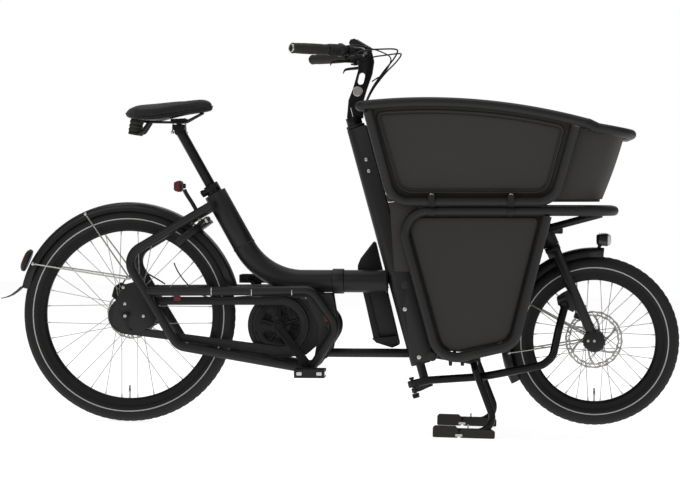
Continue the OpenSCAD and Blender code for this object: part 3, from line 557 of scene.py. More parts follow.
def rear_frame():
    """The bent main tube with its coupler's sleeve and welds."""
    lean = math.radians(SEAT_LEAN)
    seat_up = Vector((-math.sin(lean), 0, math.cos(lean)))
    start = SEAT_TOP - seat_up * 187.5
    reach = (start.z - MAIN_Z) / seat_up.z
    corner = start - seat_up * reach
    corner.z = MAIN_Z
    path = route([start, corner, (811, 0, MAIN_Z)], [0, 210, 0], 28)
    piece = tube("main_tube_skin", path, MAIN_R, "main_frame", POWDER, sides=48, capped=False)
    sleeve = placed(lathe([(35, -2), (38.5, 0), (39, 2), (39, 32), (38.5, 34), (35, 36)], 48),
                    facing((640, 0, MAIN_Z), AHEAD))
    add_piece("main_tube_sleeve", *sleeve, "main_frame", POWDER)
    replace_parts(piece, "main_tube")
    beads = merge([weld(start, seat_up, MAIN_R), weld((806, 0, MAIN_Z), AHEAD, MAIN_R)])
    add_piece("main_welds", *beads, "main_frame", POWDER)


rear_frame()

LOOP_CORNERS = [
    (262, -50, 676), (-5, -STAY_Y, 518), (163, -STAY_Y, 243), (578, -STAY_Y, 172),
    (661, -STAY_Y, 304), (580, -STAY_Y, 416), (68, -STAY_Y, 411),
]
LOOP_BENDS = [0, 55, 50, 40, 50, 45, 0]


def frame_loops():
    piece = tube("frame_loop_skins", route(LOOP_CORNERS, LOOP_BENDS, 18), LOOP_R, "main_frame", POWDER,
                 sides=32, mirror=True)
    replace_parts(piece, "frame_loops")
    beads = both_sides(merge([
        weld(LOOP_CORNERS[0], (-0.85, -0.1, -0.5), LOOP_R, width=2.6),
        weld((76, -STAY_Y, 411), AHEAD, LOOP_R, width=2.6),
    ]))
    add_piece("frame_loop_welds", *beads, "main_frame", POWDER)


frame_loops()


def box_frame():
    loop = route([
        (1301, -LOWER_Y, 648), (1202, -LOWER_Y, 260), (979, -LOWER_Y, 208),
        (853, -LOWER_Y, 663), (1300, -LOWER_Y, 663),
    ], [0, 60, 75, 70, 0], 18)
    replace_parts(tube("box_loop_skins", loop, BOX_TUBE_R, "main_frame", TUBES, mirror=True), "box_loops")
    bumper = route([
        (1300, -LOWER_Y, 663), (1503, -LOWER_Y, 663), (1503, LOWER_Y, 663), (1300, LOWER_Y, 663),
    ], [0, 95, 95, 0], 20)
    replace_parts(tube("bumper_skin", bumper, BOX_TUBE_R, "main_frame", TUBES), "bumper_tube")


box_frame()


def rim_z(x):
    """Height of the box rim's tube, which falls towards the front as a shallow arc."""
    return 988 - 2.806e-4 * (x - 940) ** 2


def rim_tubes():
    side = [(x, -RIM_Y, rim_z(x)) for x in range(1425, 780, -20)]
    rear = route([
        (770, -RIM_Y, rim_z(770)), (738, -RIM_Y, rim_z(738)), (772, -90, 979),
        (772, 90, 979), (738, RIM_Y, rim_z(738)), (770, RIM_Y, rim_z(770)),
    ], [0, 25, 90, 90, 25, 0], 12)
    far = [(x, RIM_Y, rim_z(x)) for x in range(785, 1430, 20)]
    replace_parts(tube("rim_skin", side + rear + far, BOX_TUBE_R, "main_frame", TUBES), "box_rim")
    nose = route([
        (1431, -RIM_Y, 913), (1553, -RIM_Y + 8, 892), (1553, RIM_Y - 8, 892), (1431, RIM_Y, 913),
    ], [0, 112, 112, 0], 24)
    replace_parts(tube("nose_rim_skin", nose, BOX_TUBE_R, "main_frame", TUBES), "nose_rim")
    socket = tube_shape([(1418, -RIM_Y, rim_z(1418)), (1446, -RIM_Y + 1, 910.4)], 16.2)
    add_piece("rim_couplers", *both_sides(socket), "main_frame", PLASTIC)


rim_tubes()


def flared(x, z):
    """A point on the box's outer loops, which lean out as they rise."""
    return (x, -(226 + 0.2 * (z - 692)), z)


def upper_loops():
    path = route([flared(768, 962), flared(838, 692), flared(1322, 692), flared(1384, 918)],
                 [0, 65, 65, 0], 18)
    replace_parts(tube("upper_loop_skins", path, BOX_TUBE_R, "main_frame", TUBES, mirror=True), "upper_loops")


upper_loops()


# ---- Wheels ----------------------------------------------------------------------
def tyre(name, node, place, body, outer, section, knobs):
    """A tyre with a shallow block tread. outer and section are radii in millimetres."""
    middle = outer - section
    around = knobs * 6
    profile = []
    count = 44
    for k in range(count + 1):
        a = math.radians(-148 + 296 * k / count)
        profile.append((middle + (section - 0.35) * math.cos(a), (section - 0.35) * math.sin(a), a))
    rings = []
    for j in range(around):
        turn = 2 * math.pi * j / around
        phase = j % 6
        ring = []
        for x, z, a in profile:
            across = abs(math.degrees(a))
            depth = 0.0
            if across < 52:
                shifted = (phase + (3 if 14 < across < 38 else 0)) % 6
                groove = shifted in (0, 1)
                line = 11 < across < 16 or 36 < across < 41
                depth = -1.0 if groove or line else 0.0
            radius = math.hypot(x - middle, z)
            scale = (radius + depth) / radius
            r = middle + (x - middle) * scale
            ring.append(Vector((r * math.cos(turn), r * math.sin(turn), z * scale)))
        rings.append(ring)
    width = len(profile)
    points = [p for ring in rings for p in ring]
    faces = []
    for j in range(around):
        a = j * width
        b = ((j + 1) % around) * width
        for i in range(width - 1):
            faces.append((a + i, a + i + 1, b + i + 1, b + i))
        faces.append((a + width - 1, a, b, b + width - 1))
    piece = add_piece(name, points, faces, body, (RUBBER, STRIPE), place, smooth=32)
    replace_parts(piece, node)


REAR_SECTION = 27.5
FRONT_SECTION = 28
tyre("rear_tyre_tread", "rear_tyre", REAR_AXLE, "rear_wheel_unit", REAR_R, REAR_SECTION, 84)
tyre("front_tyre_tread", "front_tyre", FRONT_AXLE, "front_wheel_unit", FRONT_R, FRONT_SECTION, 66)


def wheel_details(prefix, place, body, bead, hub_r, flange, spokes=32):
    """Spoke nipples at the rim, the spokes' bent heads at the flanges, and the valve."""
    shapes = []
    heads = []
    for k in range(spokes):
        side = 1 if k % 2 == 0 else -1
        lean = 1 if (k // 2) % 2 == 0 else -1
        a = math.radians(360 * (k + 0.5) / spokes)
        b = a + lean * math.radians(58)
        rim = Vector(((bead - 17) * math.cos(a), (bead - 17) * math.sin(a), side * 3))
        hub = Vector((hub_r * math.cos(b), hub_r * math.sin(b), side * (flange + lean * 1.6)))
        inward = (hub - rim).normalized()
        shapes.append(
            tube_shape([rim, rim + inward * 8, rim + inward * 13], lambda t: 2.3 - t * 0.7, 10))
        heads.append(placed(lathe([(0, -2.2), (2.2, -1.6), (2.2, 1.6), (0, 2.2)], 10),
                            Matrix.Translation((hub.x, hub.y, side * (flange + 3.4)))))
    add_piece(prefix + "_nipples", *merge(shapes), body, ALLOY, place)
    add_piece(prefix + "_spoke_heads", *merge(heads), body, STEEL, place)
    valve = lathe([(0, 46), (2.2, 46), (3.4, 44.5), (3.4, 38), (2.9, 37.5), (2.9, 30), (4.4, 29),
                   (4.4, 25), (3.1, 24), (3.1, 0)], 16)
    turned = (
        Matrix.Rotation(math.radians(270), 4, "Z")
        @ Matrix.Translation((bead - 12, 0, 0))
        @ Matrix.Rotation(math.radians(-90), 4, "Y")
    )
    add_piece(prefix + "_valve", *placed(valve, turned), body, ALLOY, place)


wheel_details("rear", REAR_AXLE, "rear_wheel_unit", 280, 33, 27)
wheel_details("front", FRONT_AXLE, "front_wheel_unit", 205, 31, 29)


# ---- Cargo box -----------------------------------------------------------------
def middle_of(outline):
    """The mean of an outline's (x, z) points."""
    return Vector((sum(x for x, z in outline) / len(outline), sum(z for x, z in outline) / len(outline)))


def inset(outline, distance):
    """A convex outline of (x, z) corners, drawn anticlockwise or clockwise, moved inwards."""
    corners = [Vector((x, z)) for x, z in outline]
    middle = sum(corners, Vector((0, 0))) / len(corners)
    lines = []
    for a, b in zip(corners, corners[1:] + corners[:1]):
        along = (b - a).normalized()
        across = Vector((-along.y, along.x))
        if across.dot(middle - a) < 0:
            across.negate()
        lines.append((a + across * distance, along))
    moved = []
    for (p, u), (q, v) in zip(lines[-1:] + lines[:-1], lines):
        reach = (q - p).cross(v) / u.cross(v)
        moved.append(tuple(p + u * reach))
    return moved


def wall_y(z):
    """Half width of the upper box's outside at height z."""
    return 208 + 0.2 * (z - 692)


def plan_curve(x0, x1, half_width, steps):
    """The nose in plan, from the right side round to the left."""
    points = []
    for k in range(steps + 1):
        a = math.radians(-90 + 180 * k / steps)
        c = max(0.0, math.cos(a)) ** 0.6
        s = math.copysign(abs(math.sin(a)) ** 0.6, math.sin(a))
        points.append((x0 + (x1 - x0) * c, half_width * s))
    return points


BOX_LOW = 698
TOP_GAP = 9


def upper_box_walls():
    """The upper box's one-piece moulded wall, open at the back, with a rolled top edge."""
    low = []
    high = []
    side_steps = 28
    for k in range(side_steps):
        t = k / side_steps
        low.append((836 + t * 506, -wall_y(BOX_LOW), BOX_LOW))
        x = 782 + t * 620
        z = rim_z(x) - TOP_GAP
        high.append((x, -wall_y(z), z))
    nose_low = plan_curve(1342, 1474, wall_y(692), 48)
    nose_high = plan_curve(1402, 1538, wall_y(915), 48)
    for (x0, y0), (x1, y1) in zip(nose_low, nose_high):
        low.append((x0, y0, BOX_LOW))
        high.append((x1, y1, 905 - (x1 - 1402) * 0.17))
    for k in range(side_steps):
        low.append((low[side_steps - 1 - k][0], -low[side_steps - 1 - k][1], BOX_LOW))
        mirror_of = high[side_steps - 1 - k]
        high.append((mirror_of[0], -mirror_of[1], mirror_of[2]))
    rings = []
    for i, (a, b) in enumerate(zip(low, high)):
        a = Vector(a)
        b = Vector(b)
        before = Vector(low[max(0, i - 1)])
        after = Vector(low[min(len(low) - 1, i + 1)])
        out = (after - before).cross(Vector((0, 0, 1))).normalized()
        ring = []
        rises = 10
        for k in range(rises + 1):
            t = k / rises
            bow = 3.0 * math.sin(math.pi * t)
            ring.append(a.lerp(b, t) + out * (bow - 3.0))
        for k in range(7):
            turn = math.pi * k / 6
            ring.append(b + out * (-4 + 4 * math.cos(turn) - 3) + Vector((0, 0, 4 * math.sin(turn))))
        for k in range(rises + 1):
            t = 1 - k / rises
            bow = 3.0 * math.sin(math.pi * t)
            ring.append(a.lerp(b, t) + out * (bow - 3.0 - 8))
        rings.append(ring)
    walls = skin(rings)
    swap_y_z = Matrix(((1, 0, 0, 0), (0, 0, 1, 0), (0, 1, 0, 0), (0, 0, 0, 1)))
    plan = rounded([(1241, -196), (1462, -150), (1462, 150), (1241, 196)], 60)
    floor_plate = placed(prism(plan, 690, 700), swap_y_z)
    section = ((822, 690), (834, 690), (783, 962), (771, 962))
    back = skin([[Vector((x, side * (wall_y(z) - 5), z)) for x, z in section] for side in (-1, 1)])
    piece = add_piece("upper_box_wall", *walls, "main_frame", SHELL, smooth=50)
    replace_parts(piece, "upper_box")
    add_piece("upper_box_floor", *merge([floor_plate, back]), "main_frame", SHELL_IN, bevel=3)


upper_box_walls()

UPPER_WINDOW = [(768, 962), (838, 692), (1322, 692), (1384, 918)]
LOWER_WINDOW = [(1304, 663), (1202, 260), (979, 208), (853, 663)]


def bead_on_side(outline, depth, radius):
    """A raised line on the side of the box. depth(x, z) is the distance from the middle."""
    path = [(x, -depth(x, z), z) for x, z in outline]
    rings = rings_along(path + path[:2], radius, 12)[: len(path)]
    return skin(rings, closed=True)


def upper_side_panels():
    """The raised borders of the upper side panels."""
    top = [(x, rim_z(x) - 26) for x in range(1352, 790, -40)]
    border = rounded(inset(UPPER_WINDOW, 27)[1:3] + top, 48, 8)

    def on_wall(x, z):
        return wall_y(z) + 1.5

    bead = bead_on_side(border, on_wall, 3.6)
    inner = rounded(inset_any(border, 9), 4, 2)
    bead_inner = bead_on_side(inner, on_wall, 1.2)
    add_piece("upper_panel_borders", *both_sides(merge([bead, bead_inner])), "main_frame", SHELL)


def inset_any(outline, distance):
    """An outline drawn point by point, moved inwards along its normals."""
    count = len(outline)
    middle = middle_of(outline)
    moved = []
    for i, (x, z) in enumerate(outline):
        before = Vector(outline[i - 1])
        after = Vector(outline[(i + 1) % count])
        along = (after - before).normalized()
        across = Vector((-along.y, along.x))
        if across.dot(middle - Vector((x, z))) < 0:
            across.negate()
        moved.append(tuple(Vector((x, z)) + across * distance))
    return moved


upper_side_panels()


def crowned_plate(outline, y_edge, crown, thick):
    """A plate in the x-z plane at y = -y_edge, its face swelling outwards by crown in the middle."""
    middle = middle_of(outline)
    steps = [(1, -thick), (1, -2), (0.997, -0.7), (0.988, 0), (0.93, crown * 0.35),
             (0.75, crown * 0.75), (0.4, crown), (0.1, crown)]
    rings = []
    for scale, out in steps:
        ring = [middle + (Vector(p) - middle) * scale for p in outline]
        rings.append([Vector((p.x, -(y_edge + out), p.y)) for p in ring])
    points, faces = skin(rings, capped=False)
    count = len(outline)
    last = len(points) - count
    points.append(Vector((middle.x, -(y_edge + crown), middle.y)))
    faces += [(last + k, last + (k + 1) % count, len(points) - 1) for k in range(count)]
    faces.append(tuple(reversed(range(count))))
    return points, faces


def panel_outline():
    """The lower panel's outline, with its own bend at each corner."""
    corners = [Vector((x, 0, z)) for x, z in inset(LOWER_WINDOW, 20)]
    path = []
    for k, bend in enumerate((14, 52, 52, 34)):
        path += bend_points(corners[k - 1], corners[k], corners[(k + 1) % 4], bend, 10)
    return [(p.x, p.z) for p in path]


def lower_side_panels():
    plate = crowned_plate(panel_outline(), 207, 3.0, 8)
    add_piece("lower_panels", *both_sides(plate), "main_frame", SHELL, smooth=50)


lower_side_panels()


def box_fittings():
    """The clips between the loops, the box's screws and the column's."""
    band = lathe([(15.2, -11), (17.4, -10.4), (17.4, 10.4), (15.2, 11)], 32)
    clip_shapes = []
    for x in (956, 1194):
        for y, z in ((LOWER_Y, 663), (226, 692)):
            clip_shapes.append(placed(band, facing((x, -y, z), AHEAD)))
        clip_shapes.append(prism(rectangle(x - 8, x + 8, 690, 716, 5), -230, -212))
    add_piece("loop_clips", *both_sides(merge(clip_shapes)), "main_frame", PLASTIC, bevel=0.8)
    heads = []
    for side in (-1, 1):
        for x in (956, 1194):
            heads.append(((x, side * 229.5, 710), (0, side, 0)))
        for x, z in ((874, 366), (917, 221)):
            heads.append(((x, side * 199, z), (0, side, 0)))
    screws("box_screws", heads, "main_frame", radius=6.5, height=3.6)
    for side in (-1, 1):
        screws("column_screws_" + ("right" if side < 0 else "left"), [
            ((746, side * 29, 820), (0, side, 0)), ((754, side * 29, 785), (0, side, 0)),
        ], "main_frame", radius=6, height=4)


box_fittings()


# ---- CAD nodes that keep their shape ---------------------------------------------
def soften(names, width, angle=32):
    """Joins the faces of CAD nodes and rounds their edges. width is in millimetres."""
    for name in names.split():
        node = NODE[name]
        node.modifiers.new("join", "WELD").merge_threshold = 0.00001
        flat = node.modifiers.new("flat", "DECIMATE")
        flat.decimate_type = "DISSOLVE"
        flat.angle_limit = math.radians(0.6)
        edges = node.modifiers.new("edges", "BEVEL")
        edges.width = width / 1000
        edges.segments = 2
        edges.limit_method = "ANGLE"
        edges.angle_limit = math.radians(angle)
        edges.harden_normals = True
        node.data.shade_smooth()
        node.data.set_sharp_from_angle(angle=math.radians(angle))


soften("stem crankset fork column_housing right_pedal left_pedal", 2.0)
soften("frame_plates side_cheeks seat_collar battery_cradle rear_caliper lock_body", 1.0)
soften("chain_guard lower_box stand_bracket", 1.2)
soften("seat_post head_tube seat_tube lower_tube box_cross_tubes", 0.8)
soften("lock_shackle", 0.6)


# ---- Saddle ----------------------------------------------------------------------
# Each section is x, half width, lowest z, highest z
SADDLE = [
    (-6, 30, 960, 974), (2, 52, 955, 979), (16, 76, 951, 983), (40, 95, 947, 988),
    (70, 94, 945, 991), (98, 80, 946, 993.5), (124, 60, 951, 996.5), (150, 44, 957, 999.5),
    (180, 33, 963, 1002), (212, 27, 968, 1005), (240, 23.5, 972, 1005.5), (256, 18, 976, 1001),
    (262, 10, 981, 994),
]


def saddle_ring(x, half, low, high, count=36):
    """The saddle's outline at x, full at the sides and flatter below."""
    middle = low + 0.42 * (high - low)
    ring = []
    for a in angles(count):
        c = math.cos(a)
        s = math.sin(a)
        y = half * math.copysign(abs(c) ** 0.72, c)
        lift = (high - middle) * abs(s) ** 0.75 if s > 0 else -(middle - low) * abs(s) ** 0.55
        ring.append(Vector((x, y, middle + lift)))
    return ring


def between(rows, per_span):
    """Rows of numbers with smooth rows added between them."""
    smooth = []
    rows = [rows[0]] + rows + [rows[-1]]
    for p0, p1, p2, p3 in zip(rows, rows[1:], rows[2:], rows[3:]):
        for k in range(per_span):
            t = k / per_span
            smooth.append(tuple(
                0.5 * (2 * b + (c - a) * t + (2 * a - 5 * b + 4 * c - d) * t * t
                       + (3 * b - a - 3 * c + d) * t ** 3)
                for a, b, c, d in zip(p0, p1, p2, p3)
            ))
    return smooth + [rows[-1]]


def remeshed(piece, voxel):
    """Gives the piece an even mesh with voxels of this size in millimetres."""
    even = piece.modifiers.new("even", "REMESH")
    even.mode = "VOXEL"
    even.voxel_size = voxel / 1000
    bpy.context.view_layer.update()
    found = piece.evaluated_get(bpy.context.evaluated_depsgraph_get())
    mesh = bpy.data.meshes.new_from_object(found)
    piece.modifiers.clear()
    materials = list(piece.data.materials)
    piece.data = mesh
    mesh.materials.clear()
    for material in materials:
        mesh.materials.append(material)
    mesh.shade_smooth()


def inflated(piece, pressure, most):
    """Swells the piece as cloth under pressure. No point moves by more than most millimetres."""
    cloth = piece.modifiers.new("cloth", "CLOTH")
    cloth.settings.use_pressure = True
    cloth.settings.uniform_pressure_force = pressure
    cloth.settings.effector_weights.gravity = 0
    cloth.settings.quality = 6
    cloth.point_cache.frame_start = 1
    cloth.point_cache.frame_end = 20
    stage = bpy.context.scene
    for frame_number in range(1, 21):
        stage.frame_set(frame_number)
    found = piece.evaluated_get(bpy.context.evaluated_depsgraph_get())
    swollen = [v.co.copy() for v in found.data.vertices]
    piece.modifiers.clear()
    stage.frame_set(1)
    for vertex, target in zip(piece.data.vertices, swollen):
        move = target - vertex.co
        if move.length > most / 1000:
            move = move.normalized() * most / 1000
        vertex.co += move
    piece.data.update()


def saddle_cover():
    """The padded cover, with a groove down its middle and seams along its sides."""
    rings = [saddle_ring(*row) for row in between(SADDLE, 4)]
    piece = add_piece("saddle_cover", *skin(rings), "seat_unit", VINYL, smooth=80)
    remeshed(piece, 4.5)
    inflated(piece, 4.0, 2.5)
    to_bike = BIKE.inverted()
    for vertex in piece.data.vertices:
        p = to_bike @ vertex.co
        half = max(12.0, 100 - max(0.0, p.x - 50) * 0.62)
        along = max(0.0, math.sin(math.pi * min(1.0, max(0.0, (p.x - 8) / 215))))
        if p.z > 978:
            p.z -= 4.2 * along * math.exp(-((p.y / 7.5) ** 2))
            p.z -= 1.3 * math.exp(-(((abs(p.y) - half * 0.55) / 1.8) ** 2)) * min(1.0, along * 2)
        p.y -= math.copysign(1.6 * math.exp(-(((p.z - 961) / 2.2) ** 2)), p.y)
        vertex.co = BIKE @ p
    piece.data.update()
    rounding = piece.modifiers.new("smooth", "SUBSURF")
    rounding.levels = rounding.render_levels = 1
    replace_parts(piece, "saddle")


def saddle_parts():
    """The saddle's base, piping, stitches, rails, elastomers and clamp."""
    rows = between(SADDLE, 4)
    low_rings = [saddle_ring(x, max(4, half - 5), low - 4, low + 9, 28)
                 for x, half, low, high in rows]
    add_piece("saddle_base", *skin(low_rings), "seat_unit", PLASTIC)
    edge = [Vector((x, -half + 0.6, low + 5)) for x, half, low, high in rows]
    loop = edge + [Vector((p.x, -p.y, p.z)) for p in reversed(edge)]
    piping = skin(rings_along(loop + loop[:1], 1.7, 8)[:-1], closed=True)
    add_piece("saddle_piping", *piping, "seat_unit", PLASTIC, smooth=70)
    stitches = []
    for x, half, low, high in between(SADDLE[2:11], 14):
        at = Vector((x, -(half * 0.985), low + (high - low) * 0.36))
        stitches.append(tube_shape([at, at + Vector((3.0, 0, 0.2))], 0.55, 6))
    add_piece("saddle_stitches", *both_sides(merge(stitches)), "seat_unit", GRIP)
    rails = route([(10, -40, 960), (48, -23, 938), (178, -20, 936), (234, -9, 966)], [0, 30, 30, 0], 8)
    piece = tube("saddle_rail_skins", rails, 3.5, "seat_unit", ALLOY_BLACK, sides=14, mirror=True)
    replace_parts(piece, "saddle_rails")
    barrel = lathe([(0, -22), (11, -22), (14.5, -19), (16, -12), (13.6, -7), (16.4, -1), (13.6, 5),
                    (16.2, 11), (14, 19), (11, 24), (0, 24)], 28)
    lean = Matrix.Rotation(0.18, 4, "Y")
    springs = [placed(barrel, Matrix.Translation((22, y, 926)) @ lean) for y in (-36, 36)]
    add_piece("saddle_elastomers", *merge(springs), "seat_unit", GRIP)
    yoke = route([(20, -36, 902), (44, -30, 904), (66, -22, 936)], [0, 16, 0], 8)
    feet = [tube_shape(yoke, 5.5, 14)]
    feet.append(placed(lathe([(0, -5), (15, -5), (17, -3), (17, 2), (15, 4), (0, 4)], 28),
                       Matrix.Translation((20, -36, 902)) @ lean))
    add_piece("saddle_yoke", *both_sides(merge(feet)), "seat_unit", PLASTIC, bevel=0.6)
    at = 157.8
    lower = rounded([(at - 22, 930), (at + 22, 930), (at + 16, 911), (at - 16, 911)], 5)
    upper = rounded([(at - 24, 947), (at + 24, 949), (at + 24, 940), (at - 24, 938)], 4)
    jaws = [prism(lower, -17, 17), prism(upper, -27, 27),
            tube_shape([(at, -30, 935), (at, 30, 935)], 6.5, 20)]
    add_piece("saddle_clamp", *merge(jaws), "seat_unit", ALLOY_BLACK, bevel=1.2)
    nut = lathe([(0, -3), (4.2, -3), (5, -2), (5, 4), (4, 5), (0, 5)], 6)
    bolts = []
    for foot, head in (((180, 0, 903), (176, 0, 950)), ((136, 0, 904), (139, 0, 948))):
        bolts.append(tube_shape([foot, head], 2.2, 12))
        bolts.append(placed(nut, facing(foot, (0, 0, 1))))
    add_piece("saddle_clamp_bolts", *merge(bolts), "seat_unit", ALLOY)


saddle_cover()
saddle_parts()


def seat_clamp():
    """The quick-release lever and its barrel nut on the seat collar."""
    lever = [Vector((-31, -26, 16)), Vector((-22, -30, 16.5)), Vector((-4, -31, 18)), Vector((12, -29, 20)),
             Vector((23, -27, 22))]
    rings = []
    for i, p in enumerate(spline_path(lever, 6)):
        t = i / 24
        wide = 5.2 + 1.4 * math.sin(math.pi * min(1, t))
        rings.append([p + Vector((0, 2.4 * math.cos(a), wide * math.sin(a))) for a in angles(16)])
    hub = placed(lathe([(0, -6), (5.6, -6), (6.5, -5), (6.5, 5), (5.6, 6), (0, 6)], 28),
                 Matrix.Translation((-31, -21, 16)))
    fork_arm = placed(prism(rectangle(-4, 4, 12, 20, 2), -29, -16), Matrix.Translation((-31, 0, 0)))
    piece = add_piece("seat_quick_release", *merge([skin(rings), hub, fork_arm]), "quick_release",
                      ALLOY_BLACK, SEAT, bevel=0.5)
    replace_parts(piece, "collar_lever")


seat_clamp()

# ---- Cockpit ---------------------------------------------------------------------
BAR_X = 740
BAR_Z = 1148
BAR_CORNER = Vector((BAR_X, -150, BAR_Z))
BAR_END = Vector((543, -326, BAR_Z))
BAR_DIR = (BAR_END - BAR_CORNER).normalized()
BAR_LENGTH = (BAR_END - BAR_CORNER).length
BAR_R = 11.1
LEVER_S = 46
QUARTER = Matrix.Rotation(math.radians(90), 4, "Y")


def on_bar(s):
    """A frame on the right half of the bar: x outwards along it, y ahead, z up."""
    return Matrix.Translation(BAR_CORNER + BAR_DIR * s) @ Matrix.Rotation(
        math.atan2(BAR_DIR.y, BAR_DIR.x), 4, "Z")


def bar_and_grips():
    """The bar, the grips with their end rings, and the twist shifter."""
    path = route([BAR_END, BAR_CORNER, MIRROR @ BAR_CORNER, MIRROR @ BAR_END], [0, 48, 48, 0], 14)
    bulge = placed(lathe([(BAR_R, -46), (12.7, -34), (12.9, -30), (12.9, 30), (12.7, 34), (BAR_R, 46)], 36),
                   facing((BAR_X, 0, BAR_Z), LEFT))
    bar_piece = add_piece("handlebar_skin", *merge([skin(rings_along(path, BAR_R, 28)), bulge]),
                          "handlebar_unit", ALLOY_BLACK)
    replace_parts(bar_piece, "handlebar")

    def grip(length):
        profile = [(BAR_R + 0.1, 0), (15, 0.4), (16.2, 2), (16.4, 4)]
        steps = 46
        for k in range(1, steps):
            t = k / steps
            r = 15.4 + 1.0 * math.sin(math.pi * t) ** 0.7
            band = 0.86 < t < 0.97 or t < 0.12
            profile.append((r - (0.55 if band and k % 2 else 0.0), 4 + t * (length - 8)))
        profile += [(16.2, length - 3), (15.2, length - 0.6), (12.4, length + 0.4)]
        points, faces = lathe(profile, 48)
        ribbed = []
        for p in points:
            a = math.atan2(p.y, p.x)
            t = p.z / length
            depth = 0.28 * math.sin(a * 26 + 3 * math.sin(p.z / 9)) if 0.14 < t < 0.84 else 0.0
            scale = 1 + depth / max(1.0, math.hypot(p.x, p.y))
            ribbed.append(Vector((p.x * scale, p.y * scale, p.z)))
        return ribbed, faces

    right = placed(grip(BAR_LENGTH - 134), on_bar(132) @ QUARTER)
    left = placed(grip(BAR_LENGTH - 94), MIRROR @ on_bar(92) @ QUARTER)
    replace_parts(add_piece("grip_covers", *merge([right, left]), "handlebar_unit", GRIP, smooth=50), "grips")
    ring = lathe([(12.8, -1), (12.6, 1.4), (11.6, 2.4), (10, 2.4), (9.2, 1)], 40)
    plug = lathe([(9.3, 1), (8.6, 1.8), (4, 2.3), (3.2, 1.2), (0, 1.2)], 32)
    bar_end = on_bar(BAR_LENGTH) @ QUARTER
    add_piece("grip_end_rings", *both_sides(placed(ring, bar_end)), "handlebar_unit", ALLOY)
    add_piece("grip_end_plugs", *both_sides(placed(plug, bar_end)), "handlebar_unit", PLASTIC)
    twist = [(BAR_R + 0.5, 0), (16.6, 0), (17.4, 1), (17.5, 7), (20.2, 8.5), (21, 10), (21, 16),
             (20, 18), (18.2, 20)]
    twist += [(17.2 + 0.5 * math.cos(k * 0.9), 21 + k * 1.4) for k in range(27)]
    twist += [(17, 60), (16, 62), (BAR_R + 0.5, 62)]
    points, faces = lathe(twist, 72)
    fluted = []
    for p in points:
        r = math.hypot(p.x, p.y)
        scale = 1 + (0.6 * math.cos(24 * math.atan2(p.y, p.x)) / r if 20 < p.z < 59 and r > 14 else 0)
        fluted.append(Vector((p.x * scale, p.y * scale, p.z)))
    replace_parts(add_piece("twist_shifter_cover", *placed((fluted, faces), on_bar(68) @ QUARTER),
                          "twist_shifter", PLASTIC, smooth=50), "shift_grip")


bar_and_grips()


def blade(path, wide, thick):
    """A flat lever along a path, wide in z and thick across. Both are functions of 0 to 1."""
    rings = []
    count = len(path)
    for i, p in enumerate(path):
        ahead = (path[min(i + 1, count - 1)] - path[max(i - 1, 0)]).normalized()
        across = Vector((0, 0, 1)).cross(ahead).normalized()
        t = i / (count - 1)
        rings.append([p + across * c * thick(t) / 2 + Vector((0, 0, s * wide(t) / 2))
                      for c, s in (squarish(a, 0.6) for a in angles(16))])
    return skin(rings)


def levers():
    """The lever perches with their hose nuts, the two brake levers and the bell."""
    at = on_bar(LEVER_S)
    at_pivot = at @ Matrix.Translation((0, 17, 0))
    ring = [(BAR_R, -9), (14.6, -9), (15.8, -8), (15.8, 8), (14.6, 9), (BAR_R, 9)]
    clamp_ring = placed(lathe(ring, 36), at @ QUARTER)
    body = [Vector((-26, 25, -19)), Vector((-8, 24, -21)), Vector((10, 25, -24)),
            Vector((20, 25, -27))]
    barrel = placed(
        tube_shape(spline_path(body, 5), lambda t: 7.4 + 2.4 * math.sin(math.pi * t), 24), at)
    neck = placed(prism(rectangle(-9, 9, -27, -8, 4), 6, 26), at)
    boss = placed(lathe([(0, -45), (6.4, -45), (7.6, -44), (7.6, -40.3), (2.4, -40)], 24), at_pivot)
    top_boss = placed(lathe([(2.4, -26.5), (7.6, -26.8), (7.6, -22), (0, -20)], 24), at_pivot)
    web = placed(prism(rectangle(-12, -7, -46, -22, 2), 8, 25), at)
    perch = merge([clamp_ring, barrel, neck, boss, top_boss, web])
    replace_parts(add_piece("lever_perches", *both_sides(perch), "handlebar_unit", PLASTIC, bevel=0.7),
                "cockpit")
    nut = placed(tube_shape([(-24, 25, -19), (-33, 27, -16)], 4.6, 6), at)
    add_piece("lever_hose_nuts", *both_sides(nut), "handlebar_unit", STEEL)
    grip_path = spline_path([
        (-4, 17, -33.5), (14, 19, -33.5), (36, 20.5, -34), (60, 19.5, -35), (76, 17, -37),
        (82, 15.5, -42), (84.5, 14.5, -47),
    ], 7)
    flat = blade(grip_path, lambda t: 11.5 - 4.5 * min(1, t * 1.1), lambda t: 8.5 - 3.4 * t)
    lever = placed(flat, at)
    pin = [(0, -38.4), (6, -38.4), (6.3, -37.6), (6.3, -29.4), (6, -28.6), (0, -28.6)]
    pivot = placed(lathe(pin, 24), at_pivot)
    shape = merge([lever, pivot])
    right = add_piece("right_brake_blade", *shape, "right_lever", ALLOY_BLACK, smooth=45)
    left = add_piece("left_brake_blade", *placed(shape, MIRROR), "left_lever", ALLOY_BLACK, smooth=45)
    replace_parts(right, "right_brake_lever")
    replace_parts(left, "left_brake_lever")
    bell = [(0, 0), (13, 0), (14, 1), (14, 4), (12.6, 9), (8.5, 13), (0, 14.5)]
    add_piece("bell", *placed(lathe(bell, 40), MIRROR @ on_bar(18) @ Matrix.Translation((0, 6, 13))),
              "handlebar_unit", ALLOY_BLACK)


levers()


